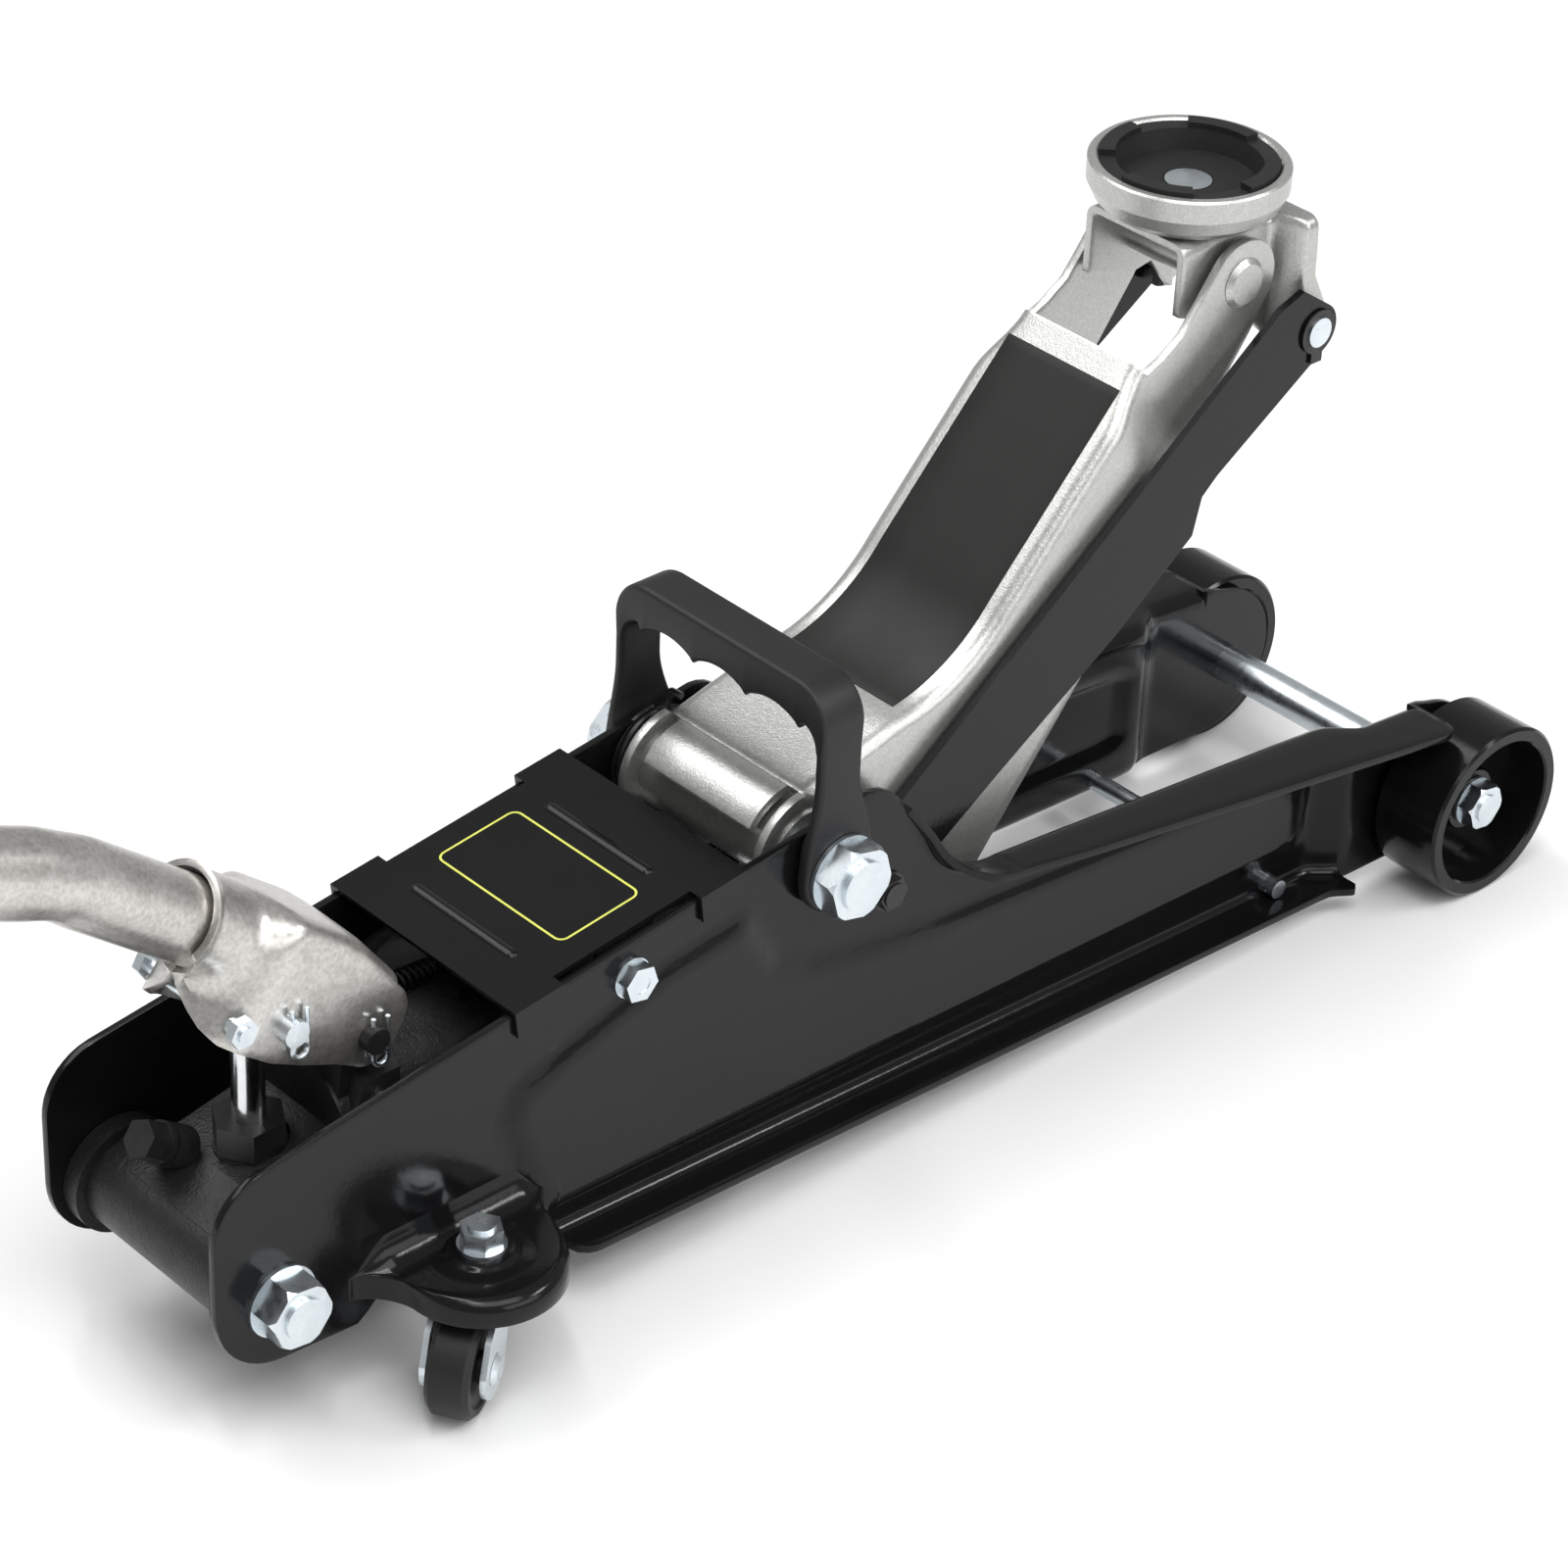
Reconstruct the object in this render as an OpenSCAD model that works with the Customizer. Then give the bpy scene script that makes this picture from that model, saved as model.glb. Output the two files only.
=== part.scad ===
// Hydraulic floor jack: low steel chassis on two front rollers and two rear casters,
// a hydraulic ram that swings a channel-section lift arm, and a levelling saddle.
// Millimetres. +X points to the front rollers, +Y to the left side, +Z up.
// The part stands on Z = 0 with the origin under the middle of its length.

/* [Chassis] */
// Thickness of the pressed side plates
plate_t = 3; // [2.5:0.1:3.2]
// Clear width between the side plates
chassis_gap = 93; // [92:0.5:95]
// Height of the lift arm pivot above the floor
pivot_z = 133; // [131:0.5:135]
// Distance from the front axle back to the lift arm pivot
pivot_back = 337; // [335:0.5:340]
// Length that the cover spans
cover_len = 108; // [104:1:110]

/* [Lift] */
// Distance from the arm pivot to the saddle pin
arm_len = 270.5; // [268:0.5:273]
// Angle of the arm above the horizontal as it stands
arm_angle = 36; // [34:0.5:38]
// Outer width of the arm channel
arm_w = 77; // [75:0.5:78]
// Sheet thickness of the arm
arm_t = 3.5; // [3:0.1:4]
// Distance from the arm pivot down to the ram pin
ram_crank = 50; // [49:0.5:51]
// Diameter of the saddle rim
saddle_d = 77; // [74:1:80]

/* [Rolling gear] */
// Diameter of the front rollers
roller_d = 76; // [74:0.5:76]
// Width of the front rollers
roller_w = 32; // [30:0.5:34]
// Diameter of the front axle
axle_d = 16; // [14:0.5:16]
// Diameter of the caster wheels
caster_d = 39; // [37:0.5:39]
// Angle that both casters trail outwards from straight back
caster_turn = 32; // [0:2:60]

/* [Handle] */
// Outer diameter of the lower handle tube
handle_d = 31; // [30:0.5:31]
// Length of straight handle behind the bend
handle_len = 480; // [400:10:600]
// Angle of the handle root above the horizontal
handle_angle = 38; // [37:0.5:39]
// Angle of the handle behind its bend
handle_rear_angle = 23; // [21:0.5:25]

/* [Hidden] */
$fn = 72;
gap = 0.05;            // running fit, on the radius
in_y = chassis_gap / 2;
out_y = in_y + plate_t;

// places along the chassis, measured from the front axle
pivot = [-pivot_back, pivot_z];
roller_r = roller_d / 2;
axle_r = axle_d / 2;
rod = [-88, 18.5];
rod_r = 4;
trunnion = [-587, 60];
top_slope = 7.75;      // rise of the plates' top edge towards the front, degrees
cover_mid = [-430, pivot_z + 6.7];
cover_t = 1.8;
cover_bolt = [-431, 124.5];
joggle = [-66, -50];   // where the plates step outwards beside the rollers
joggle_out = 9.5;
foot_slope = 2.25;
foot_w = 16.5;
panel_out = 3;         // depth of the pressed panel
stud_r = 6;
roller_in = out_y + joggle_out + 3;
nut_in = roller_in + 19;

// lift arm, in its own frame: X from the pivot to the saddle pin
disc_r = 24.5;
shaft_r = 10;
saddle_pin_r = 7;
boss_r = 17;
lug_swing = 19.5;      // how far the ram pin stands forward of straight down
lug_angle = -90 + lug_swing - arm_angle;
lug = ram_crank * [cos(lug_angle), sin(lug_angle)];
lug_pin_r = 7;
arm_side = arm_w / 2;
nose_side = 32;        // half width of the arm beside the saddle

// saddle and levelling gear, relative to the saddle pin
saddle_pin = pivot + arm_len * [cos(arm_angle), sin(arm_angle)];
link_off = [31.5, -25.5];
link_low = pivot + link_off;
link_top = saddle_pin + link_off;
link_len = arm_len;
link_t = 3;
link_y = arm_side + 2.2;
link_pin_r = 6;
bracket_top = 19.6;
saddle_r = saddle_d / 2;
saddle_base = bracket_top + 0.8;
rim_h = 39.3;
bracket_y = 25;
flare_y = 38;

// carry handle
eye_t = 7;
nut_h = 11;

// hydraulics
ram_z = pivot_z - 46.5;
cyl_r = 23;
cyl_rear = -532;
cyl_front = -405;
ram_r = 10;
plug_x = -470;
ram_pin_at = pivot + ram_crank * [sin(lug_swing), -cos(lug_swing)];
piston_x = -480;
ram_end = ram_pin_at[0] - 24;
eye_r = [3, lug_pin_r];
slot_play = 1.7;       // lets the fork follow the pin's arc
pump_x = -562;
plunger_r = 6;
anchor = [-523, 101];

// handle
socket_pivot = [-527.5, 129];
plunger_pin = [pump_x, 148];
clamp = [-583, 157];
mouth = [-574, 181];
bend_back = 80;
root_dir = [-cos(handle_angle), sin(handle_angle)];
rear_dir = [-cos(handle_rear_angle), sin(handle_rear_angle)];
bend = mouth + bend_back * root_dir;
grip_r = 16.5;
grip_len = 125;
handle_end = bend + handle_len * rear_dir;

// casters
caster = [-512, 66];
caster_r = caster_d / 2;
caster_trail = 21;
ear_top = 55.5;
wheel_arch = 45.8;     // height of the arch that lets the caster swivel under the plate
ear_r = 31;

// the origin lies under the middle of the whole length
rear_x = handle_end[0] - grip_r * sin(handle_rear_angle);
origin_x = -(roller_r + rear_x) / 2;

// ---- shared shapes

function arc(c, r, a, b, n = 10) = [for (i = [0:n]) c + r * [cos(a + (b - a) * i / n),
    sin(a + (b - a) * i / n)]];

// the jack is laid out from its front axle, then moved to its origin
module placed() translate([origin_x, 0, 0]) children();

// a flat outline drawn in X and Z, given a width in Y
module side(y0, y1) translate([0, y1, 0]) rotate([90, 0, 0]) linear_extrude(y1 - y0) children();

module pin(p, r, y0, y1) translate([p[0], y0, p[1]]) rotate([-90, 0, 0]) cylinder(r = r, h = y1 - y0);

module cone_pin(p, r0, r1, y0, y1) translate([p[0], y0, p[1]]) rotate([-90, 0, 0])
    cylinder(r1 = r0, r2 = r1, h = y1 - y0);

module right() mirror([0, 1, 0]) children();

module both() {
    children();
    right() children();
}

module hex_y(p, across, y0, y1, turn = 0) translate([p[0], y0, p[1]]) rotate([-90, turn, 0])
    cylinder(d = across / cos(30), h = y1 - y0, $fn = 6);

// hex nut with a washer under it, on a stud along Y
module nut_y(p, stud, across, washer, y0, y1, turn = 0) difference() {
    union() {
        pin(p, washer, y0, y0 + 1.6);
        intersection() {
            hex_y(p, across, y0 + 1.6, y1, turn);
            cone_pin(p, across * 0.5 + 6, across * 0.53, y0, y1);
        }
    }
    pin(p, stud + gap, y0 - 1, y1 + 1);
}

// ---- side plates

function top_z(x) = cover_mid[1] + (x - cover_mid[0]) * tan(top_slope);
function rail_z(x) = 101 - (x + 253) * 0.0894;
function foot_z(x) = 28.4 - (x + 461) * tan(foot_slope);

module web_outline() {
    rear = -614;
    polygon(concat(
        arc([rear + 30, 64], 30, 180, 268),
        [for (d = [[-41, 32], [-35, 38], [-26, 43.5], [-18, wheel_arch], [18, wheel_arch], [26, 43.5],
            [35, 38], [40, 30]]) [caster[0] + d[0], d[1]]],
        [[-466, foot_z(-466) - plate_t], [-53, foot_z(-53) - plate_t]],
        arc([-10, 42], 34, 262, 440, 20),
        [[-17, rail_z(-17)]],
        arc([-250, 141], 40, 272, 205),
        arc([-318, top_z(-318) - 20], 20, 12, 90),
        arc([rear + 24, 93], 24, 97, 180)));
}

module web_band() {
    far = 40;
    linear_extrude(200) polygon([[-650, in_y], [joggle[0], in_y], [joggle[1], in_y + joggle_out],
        [far, in_y + joggle_out], [far, out_y + joggle_out], [joggle[1], out_y + joggle_out],
        [joggle[0], out_y], [-650, out_y]]);
}

module panel_outline(inset = 0) {
    i = inset;
    polygon([[-471 + i, 42 + i], [-486 + i, 88], [-482 + i, 98 - i], [-451, 109 - i], [-415, 120 - i],
        [-378 - i, 125 - i], [-362 - i, 98 - i], [-322, 86 - i], [-276, 79 - i], [-80 - i, 66 - i],
        [-80 - i, 32.5 + i]]);
}

module top_rail() intersection() {
    side(in_y, 90) polygon(concat(
        arc([-250, 141], 40, 200, 270), [[-17, rail_z(-17)], [-17, rail_z(-17) - plate_t]],
        arc([-250, 141], 40 + plate_t, 270, 200)));
    linear_extrude(200) polygon(concat(
        [[-300, in_y], [-288, out_y], [-262, 64], [-215, 69.5]],
        arc([-25, 76], 8, 90, 0), [[-17, in_y]]));
}

module foot_rail() intersection() {
    side(in_y, 90) polygon([[-466, foot_z(-466)], [-53, foot_z(-53)],
        [-53, foot_z(-53) - plate_t], [-466, foot_z(-466) - plate_t]]);
    linear_extrude(200) polygon(concat([[-53, in_y]], arc([-59, out_y + foot_w - 6], 6, 0, 90),
        arc([-456, out_y + foot_w - 10], 10, 90, 180), [[-466, in_y]]));
}

// pressed shelf that carries the caster
module caster_ear() difference() {
    intersection() {
        translate([caster[0], caster[1], 0]) rotate_extrude() polygon(concat(
            [[0, ear_top], [13, ear_top], [13.6, ear_top - 1.6], [19, ear_top - 1.6],
                [19.6, ear_top - 3.2]],
            arc([ear_r - 6, ear_top - 9.2], 6, 90, 0),
            [[ear_r, ear_top - 12], [ear_r - plate_t, ear_top - 12], [ear_r - plate_t, ear_top - 9]],
            [[ear_r - 6, ear_top - 6.2], [17, ear_top - 6.2], [0, ear_top - 4]]));
        translate([-560, out_y - 1, 0]) cube([100, 80, 100]);
    }
    translate([caster[0], caster[1], 0]) cylinder(r = 5 + gap, h = 100);
}

module side_plate() difference() {
    union() {
        difference() {
            union() {
                intersection() {
                    side(in_y - 1, 90) web_outline();
                    web_band();
                }
                side(out_y - 0.5, out_y + panel_out) panel_outline();
            }
            side(in_y - 1, in_y + panel_out) panel_outline(plate_t);
        }
        top_rail();
        foot_rail();
        caster_ear();
    }
    pin([0, roller_r], axle_r + gap, 0, 100);
    pin(pivot, shaft_r + gap, 0, 100);
    pin(link_low, 5 + gap, 0, 100);
    pin(rod, rod_r + gap, 0, 100);
    pin(trunnion, 8 + gap, 0, 100);
    pin(cover_bolt, 4 + gap, 0, 100);
}

module side_plate_left() color("#1b1b1d") placed() side_plate();
module side_plate_right() color("#1b1b1d") placed() right() side_plate();

// ---- cover over the hydraulics

module cover_frame() translate([cover_mid[0], 0, cover_mid[1]]) rotate([0, -top_slope, 0]) children();

module bead(x, y0, y1, r) translate([x, 0, 0]) intersection() {
    union() {
        translate([0, y0, 0]) rotate([-90, 0, 0]) cylinder(r = r, h = y1 - y0);
        for (y = [y0, y1]) translate([0, y, 0]) sphere(r = r);
    }
    translate([-r, y0 - r, 0.4 + cover_t - 1]) cube([2 * r, y1 - y0 + 2 * r, r]);
}

module cover_plate() color("#232325") placed() difference() {
    rear = -cover_len / 2 - 2;
    tab = 22;
    lift = 0.4;
    wide = out_y + 0.4;
    cover_frame() {
        translate([rear, -in_y + 1, lift]) cube([cover_len, 2 * in_y - 2, cover_t]);
        for (x = [rear, rear + cover_len - tab]) translate([x, 0, 0]) {
            translate([0, -wide, lift]) cube([tab, 2 * wide, cover_t]);
            both() translate([0, wide, -9]) cube([tab, cover_t, 9 + lift + cover_t]);
        }
        // pressed beads across the cover
        bead(-36, -25, 27, 3.4);
        bead(27, -25, 27, 3.4);
        // inner lips that the side bolts screw into
        both() translate([-14, in_y - 3.2, -24]) cube([26, 2.5, 25]);
    }
    pin(cover_bolt, 4 + gap, -100, 100);
}

module cover_bolts() color("#c9ced2") placed() both() {
    pin(cover_bolt, 4, in_y - 8, out_y + 0.8);
    difference() {
        hex_y(cover_bolt, 13, out_y + 0.8, out_y + 6.3, 12);
        pin(cover_bolt, 3.6, out_y + 6, out_y + 7);
    }
    pin(cover_bolt, 8, out_y + 0.1, out_y + 0.9);
}

// ---- front axle and rollers

module front_axle() color("#c3cdd3") placed() {
    pin([0, roller_r], axle_r, -nut_in, nut_in);
    pin([0, roller_r], stud_r, -nut_in - 9.5, nut_in + 9.5);
}

module front_axle_nuts() color("#d5dadd") placed() both()
    nut_y([0, roller_r], stud_r, 18, 10.5, nut_in, nut_in + 8.5, 10);

module front_roller() translate([0, roller_in, roller_r]) rotate([-90, 0, 0]) difference() {
    rotate_extrude() polygon([[0, -2.6], [13, -2.6], [13, 3], [roller_r - 6.4, 3], [roller_r - 6.4, 0.8],
        [roller_r - 5.6, 0], [roller_r - 1.2, 0], [roller_r, 1.2], [roller_r, roller_w - 1.2],
        [roller_r - 1.2, roller_w], [roller_r - 5.6, roller_w], [roller_r - 6.4, roller_w - 0.8],
        [roller_r - 7, 13], [15, 13], [13, 18.6], [0, 18.6]]);
    translate([0, 0, -5]) cylinder(r = axle_r + gap, h = 40);
}
module front_roller_left() color("#2b2b2d") placed() front_roller();
module front_roller_right() color("#2b2b2d") placed() right() front_roller();

module cross_rod() color("#c3cdd3") placed() pin(rod, rod_r, -out_y - 8, out_y + 8);

// ---- hydraulic power unit

module pump_block() color("#161618") placed() difference() {
    union() {
        pin(trunnion, 18, -in_y + 0.3, in_y - 0.3);
        for (s = [-1, 1]) pin(trunnion, 22, s > 0 ? in_y - 8 : -in_y + 0.3, s > 0 ? in_y - 0.3 : -in_y + 8);
        side(-26, 26) polygon([[-596, 46], [-520, 42], [-516, 60], [-516, 112], [-532, 112], [-538, 92],
            [-578, 84], [-596, 76]]);
        translate([-540, 0, ram_z]) rotate([0, 90, 0]) cylinder(r = 27, h = 24);
        // boss of the small pump
        translate([pump_x, 0, 60]) cylinder(r = 13, h = 26);
        // lugs of the handle socket
        for (s = [-1, 1]) side(s > 0 ? 12 : -20, s > 0 ? 20 : -12) polygon(concat(
            [[-541, 84], [-516, 84]], arc(socket_pivot, 9, -20, 200)));
        // seat of the release valve
        translate([-580, 14, 84]) rotate([0, -55, 0]) cylinder(r = 8, h = 10);
    }
    pin(trunnion, 8 + gap, -100, 100);
    pin(socket_pivot, 5 + gap, -100, 100);
    translate([pump_x, 0, 47]) cylinder(r = plunger_r + gap, h = 40);
    translate([pump_x, 0, 66]) cylinder(r = 9 + gap, h = 40);
    translate([pump_x, 0, 86.1]) cylinder(r = 14.2, h = 20);
    translate([cyl_rear, 0, ram_z]) rotate([0, 90, 0]) cylinder(r = cyl_r + gap, h = 60);
    translate([-580, 14, 84]) rotate([0, -55, 0]) cylinder(r = 4.5 + gap, h = 30);
    both() pin(anchor, 3 + gap, 21, 100);
}

module tie_rod() color("#c9ced2") placed() pin(trunnion, 8, -out_y - 14.5, out_y + 14.5);

module tie_rod_nuts() color("#d5dadd") placed() both()
    nut_y(trunnion, 8, 23, 14, out_y, out_y + 13, 8);

module reservoir_tube() color("#1b1b1d") placed() translate([cyl_rear, 0, ram_z]) rotate([0, 90, 0])
    difference() {
        cylinder(r = cyl_r, h = cyl_front - cyl_rear);
        translate([0, 0, 6]) cylinder(r = cyl_r - 4, h = 200);
        rotate([0, -90, 0]) translate([plug_x - cyl_rear, 0, 0]) cylinder(r = 5 + gap, h = 40);
    }

module cylinder_gland() color("#202022") placed() translate([cyl_front - 12, 0, ram_z]) rotate([0, 90, 0])
    difference() {
        union() {
            cylinder(r = cyl_r - 4 - gap, h = 14);
            translate([0, 0, 12]) cylinder(r = cyl_r, h = 7);
        }
        translate([0, 0, -1]) cylinder(r = ram_r + gap, h = 40);
    }

module filler_plug() color("#2a2a2a") placed() translate([plug_x, 0, ram_z + 19.5]) {
    cylinder(r = 5, h = 4);
    translate([0, 0, 3.5]) cylinder(d = 13, h = 4, $fn = 6);
}

module pump_gland() color("#1d1d1f") placed() translate([pump_x, 0, 0]) difference() {
    union() {
        translate([0, 0, 68]) cylinder(r = 9, h = 20);
        translate([0, 0, 86.2]) cylinder(d = 24 / cos(30), h = 12, $fn = 6);
    }
    translate([0, 0, 60]) cylinder(r = plunger_r + gap, h = 60);
}

module pump_plunger() color("#c3cdd3") placed() difference() {
    slot = [-5.5, 2.5];
    union() {
        translate([pump_x, 0, 72]) cylinder(r = plunger_r, h = 70);
        for (dx = slot) pin(plunger_pin + [dx, 0], 8.4, -8, 8);
        translate([plunger_pin[0] + slot[0], -8, plunger_pin[1] - 8.4]) cube([slot[1] - slot[0], 16, 16.8]);
    }
    // slot in which the socket's pin slides as it swings
    for (dx = slot) pin(plunger_pin + [dx, 0], 5.6, -20, 20);
    translate([plunger_pin[0] + slot[0], -20, plunger_pin[1] - 5.6]) cube([slot[1] - slot[0], 40, 11.2]);
}

module release_valve() color("#2a2a2c") placed() translate([-580, 14, 84]) rotate([0, -55, 0]) {
    translate([0, 0, 2]) cylinder(r = 4.5, h = 12);
    translate([0, 0, 11]) cylinder(r = 8, h = 2.5);
    translate([0, 0, 13.5]) cylinder(d = 13 / cos(30), h = 9, $fn = 6);
}

module ram_rod() color("#d0d4d6") placed() translate([piston_x, 0, ram_z]) rotate([0, 90, 0]) {
    cylinder(r = cyl_r - 4 - gap, h = 14);
    cylinder(r = ram_r, h = ram_end - piston_x);
}

module ram_fork() color("#2a2a2c") placed() {
    x = ram_pin_at[0];
    difference() {
        union() {
            for (s = [-1, 1]) side(s > 0 ? 8 : -16, s > 0 ? 16 : -8) polygon(concat(
                arc([x + 1, ram_z], 17, -90, 90), [[x - 30, ram_z + 15], [x - 30, ram_z - 15]]));
            side(-16, 16) polygon([[x - 31, ram_z - 15], [x - 19, ram_z - 15], [x - 19, ram_z + 15],
                [x - 31, ram_z + 15]]);
        }
        for (dz = [-6.5, 6.5]) pin([x, ram_z + dz], lug_pin_r + slot_play, -30, 30);
        translate([x - lug_pin_r - slot_play, -30, ram_z - 6.5])
            cube([2 * lug_pin_r + 2 * slot_play, 60, 13]);
        translate([ram_end - 20, 0, ram_z]) rotate([0, 90, 0]) cylinder(r = ram_r + gap, h = 20);
    }
}

module spring_pegs() color("#c9ced2") placed() both() pin(anchor, 3, 21, 33);

// ---- lift arm

module arm_frame() translate([pivot[0], 0, pivot[1]]) rotate([0, -arm_angle, 0]) children();

arm_bow = [96, 68];      // centre of the dip in the arm's back
arm_bow_r = 75;
arm_back = concat([[12.5, 20.6], [43, 9.2]], arc(arm_bow, arm_bow_r, 238, 286, 8), [[217, 16]]);

module cheek_outline() polygon(concat(arm_back,
    [[228, 12], [240, 9.5], [254, 13]],
    arc([arm_len, 0], boss_r, 96, -74, 14),
    [[123, -67], [34, -91], [10, -88]],
    arc(lug, 15, -60, -190, 10),
    arc([0, 0], disc_r, 190, 80, 10)));

// bent sheet of one cheek seen from above: full width behind, narrower beside the saddle
module cheek_band() translate([0, 0, -150]) linear_extrude(260) polygon([[-60, arm_side - arm_t],
    [190, arm_side - arm_t], [214, nose_side - arm_t], [300, nose_side - arm_t], [300, nose_side],
    [214, nose_side], [190, arm_side], [-60, arm_side]]);

module lift_arm() color("#b9bab8") placed() arm_frame() difference() {
    union() {
        both() intersection() {
            side(0, 60) cheek_outline();
            cheek_band();
        }
        // back of the channel, and the flap bent down over the cross tube
        intersection() {
            union() {
                side(-60, 60) polygon(concat(arm_back, [[216, 16 - arm_t]],
                    arc(arm_bow, arm_bow_r + arm_t, 286, 238, 8), [[43, 5.6], [12.5, 17.1]]));
                side(-29, 29) polygon([[12.5, 20.6], [-1, 20.4], [-8, 18], [-8, 15], [-2, 17.2],
                    [12.5, 17.1]]);
            }
            translate([0, 0, -50]) linear_extrude(120) polygon([[-12, -29], [14, -29], [24, -arm_side],
                [190, -arm_side], [214, -nose_side], [217, -nose_side], [217, nose_side],
                [214, nose_side], [190, arm_side], [24, arm_side], [14, 29], [-12, 29]]);
        }
    }
    pin([0, 0], 17 + gap, -100, 100);
    pin([arm_len, 0], saddle_pin_r + gap, -100, 100);
    pin(lug, lug_pin_r + gap, -100, 100);
}

module arm_cross_tube() color("#a9aaa8") placed() arm_frame() difference() {
    pin([0, 0], 17, -arm_side - 1, arm_side + 1);
    pin([0, 0], shaft_r + gap, -100, 100);
}

module ram_pin() color("#c3cdd3") placed() arm_frame() {
    pin(lug, lug_pin_r, -arm_side - 1.2, arm_side + 1.2);
}

// bare dark panel on the arm's straight flank
module arm_panel() color("#3a3a38") placed() arm_frame() {
    foot = arc(arm_bow, arm_bow_r, 284, 286, 1)[1];
    slope = atan2(16 - foot[1], 217 - foot[0]);
    translate([foot[0], 0, foot[1]]) rotate([0, -slope, 0]) translate([2, -32, 0.02]) cube([72, 64, 0.4]);
}

module saddle_pin() color("#b9bab8") placed() arm_frame() {
    pin([arm_len, 0], saddle_pin_r, -nose_side - 1, nose_side + 1);
    for (s = [-1, 1]) cone_pin([arm_len, 0], s > 0 ? 10 : 8, s > 0 ? 8 : 10,
        s > 0 ? nose_side + 0.2 : -nose_side - 2.2, s > 0 ? nose_side + 2.2 : -nose_side - 0.2);
}

// ---- levelling saddle

module at_saddle() translate([saddle_pin[0], 0, saddle_pin[1]]) children();

module bracket_outline() polygon(concat([[-27, bracket_top], [-27, -9], [-14, -14]],
    arc([0, 0], 16, 240, 300, 6), [[link_off[0] - 9, link_off[1] - 7]],
    arc(link_off, 12, 235, 400, 12), [[34, -5], [33, bracket_top]]));

module saddle_bracket() color("#b3b4b2") placed() at_saddle() difference() {
    union() {
        both() intersection() {
            side(0, 60) bracket_outline();
            translate([0, 0, -60]) linear_extrude(100) polygon([[-40, bracket_y - 3], [23, bracket_y - 3],
                [29, flare_y - 3], [60, flare_y - 3], [60, flare_y], [27, flare_y], [21, bracket_y],
                [-40, bracket_y]]);
        }
        translate([-27, -bracket_y, bracket_top - 3.2]) cube([51, 2 * bracket_y, 3.2]);
        both() translate([23, 0, bracket_top - 3.2]) linear_extrude(3.2)
            polygon([[0, 0], [0, bracket_y - 1], [5, flare_y - 2], [10, flare_y - 2], [10, 0]]);
    }
    pin([0, 0], saddle_pin_r + gap, -100, 100);
    pin(link_off, link_pin_r + gap, -100, 100);
    cylinder(r = 6 + gap, h = 60);
}

module link_top_pins() color("#c9c9c7") placed() both()
    pin(link_top, link_pin_r, flare_y - 4.5, link_y + link_t + 2.1);

module link_clips() color("#3a3a3c") placed() both() difference() {
    union() {
        pin(link_top, 9, link_y + link_t + 0.5, link_y + link_t + 1.3);
        translate([link_top[0] - 3, link_y + link_t + 0.5, link_top[1] - 13]) cube([6, 0.8, 6]);
    }
    pin(link_top, link_pin_r + gap, 0, 100);
}

module saddle_cup() color("#a5a6a4") placed() at_saddle() translate([0, 0, saddle_base]) difference() {
    h = rim_h - saddle_base;
    rotate_extrude() polygon([[0, 0], [saddle_r - 8, 0], [saddle_r - 3, 4], [saddle_r, 10],
        [saddle_r, h - 0.8], [saddle_r - 0.8, h], [saddle_r - 3.4, h], [saddle_r - 4.2, h - 0.8],
        [saddle_r - 4.2, 6.5], [saddle_r - 9, 5], [0, 5]]);
    translate([0, 0, -1]) cylinder(r = 6 + gap, h = 20);
}

module saddle_insert() color("#1d1d1f") placed() at_saddle()
        translate([0, 0, saddle_base + 6.7]) difference() {
    h = rim_h - saddle_base - 6.7;
    ring = saddle_r - 4.5;
    union() {
        rotate_extrude() polygon([[0, 0], [ring, 0], [ring, h - 1], [ring - 6, h - 1], [ring - 8, 3.5],
            [0, 3.5]]);
        // raised teeth between the slots
        for (a = [20:90:290]) intersection() {
            rotate_extrude() translate([ring - 6, h - 1.5]) square([6, 3]);
            rotate(a) linear_extrude(40) polygon([[0, 0], 60 * [cos(25), -sin(25)],
                60 * [cos(25), sin(25)]]);
        }
    }
    translate([0, 0, -1]) cylinder(r = 9.5, h = 20);
}

module saddle_rivet() color("#c9c9c7") placed() at_saddle() {
    translate([0, 0, bracket_top - 6.2]) cylinder(r = 6, h = 16);
    translate([0, 0, saddle_base + 5.2]) cylinder(r = 9, h = 5);
    translate([0, 0, bracket_top - 6.4]) cylinder(r = 8.5, h = 3);
}

// ---- levelling links, in the arm's direction from their lower pins

module link_outline() polygon(concat(
    arc([0, 0], 15, 100, 262, 12),
    [[60, -17], [134, -21], [182, -19.5], [194, -9], [204, -8]],
    arc([link_len, 0], 11, 262, 380, 10),
    [[link_len + 4, 21], [link_len - 8, 24.5], [20, 19.5]]));

module link_bar() translate([link_low[0], 0, link_low[1]]) rotate([0, -arm_angle, 0]) difference() {
    side(link_y, link_y + link_t) link_outline();
    pin([0, 0], 5 + gap, 0, 100);
    // the top eye is the opened joint of the parallelogram, with play for the pin
    pin([link_len, 0], link_pin_r + 0.5, 0, 100);
}
module link_left() color("#19191b") placed() link_bar();
module link_right() color("#19191b") placed() right() link_bar();

module link_pivot_pins() color("#202022") placed() both() {
    pin(link_low, 5, link_y - 0.2, out_y + 5);
    pin(link_low, 8, out_y, out_y + 1.2);
    hex_y(link_low, 12, out_y + 1.2, out_y + 4.2);
}

// ---- main pivot and carry handle

module pivot_shaft() color("#c9ced2") placed() pin(pivot, shaft_r, -out_y - eye_t - nut_h - 2.5,
    out_y + eye_t + nut_h + 2.5);

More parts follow.
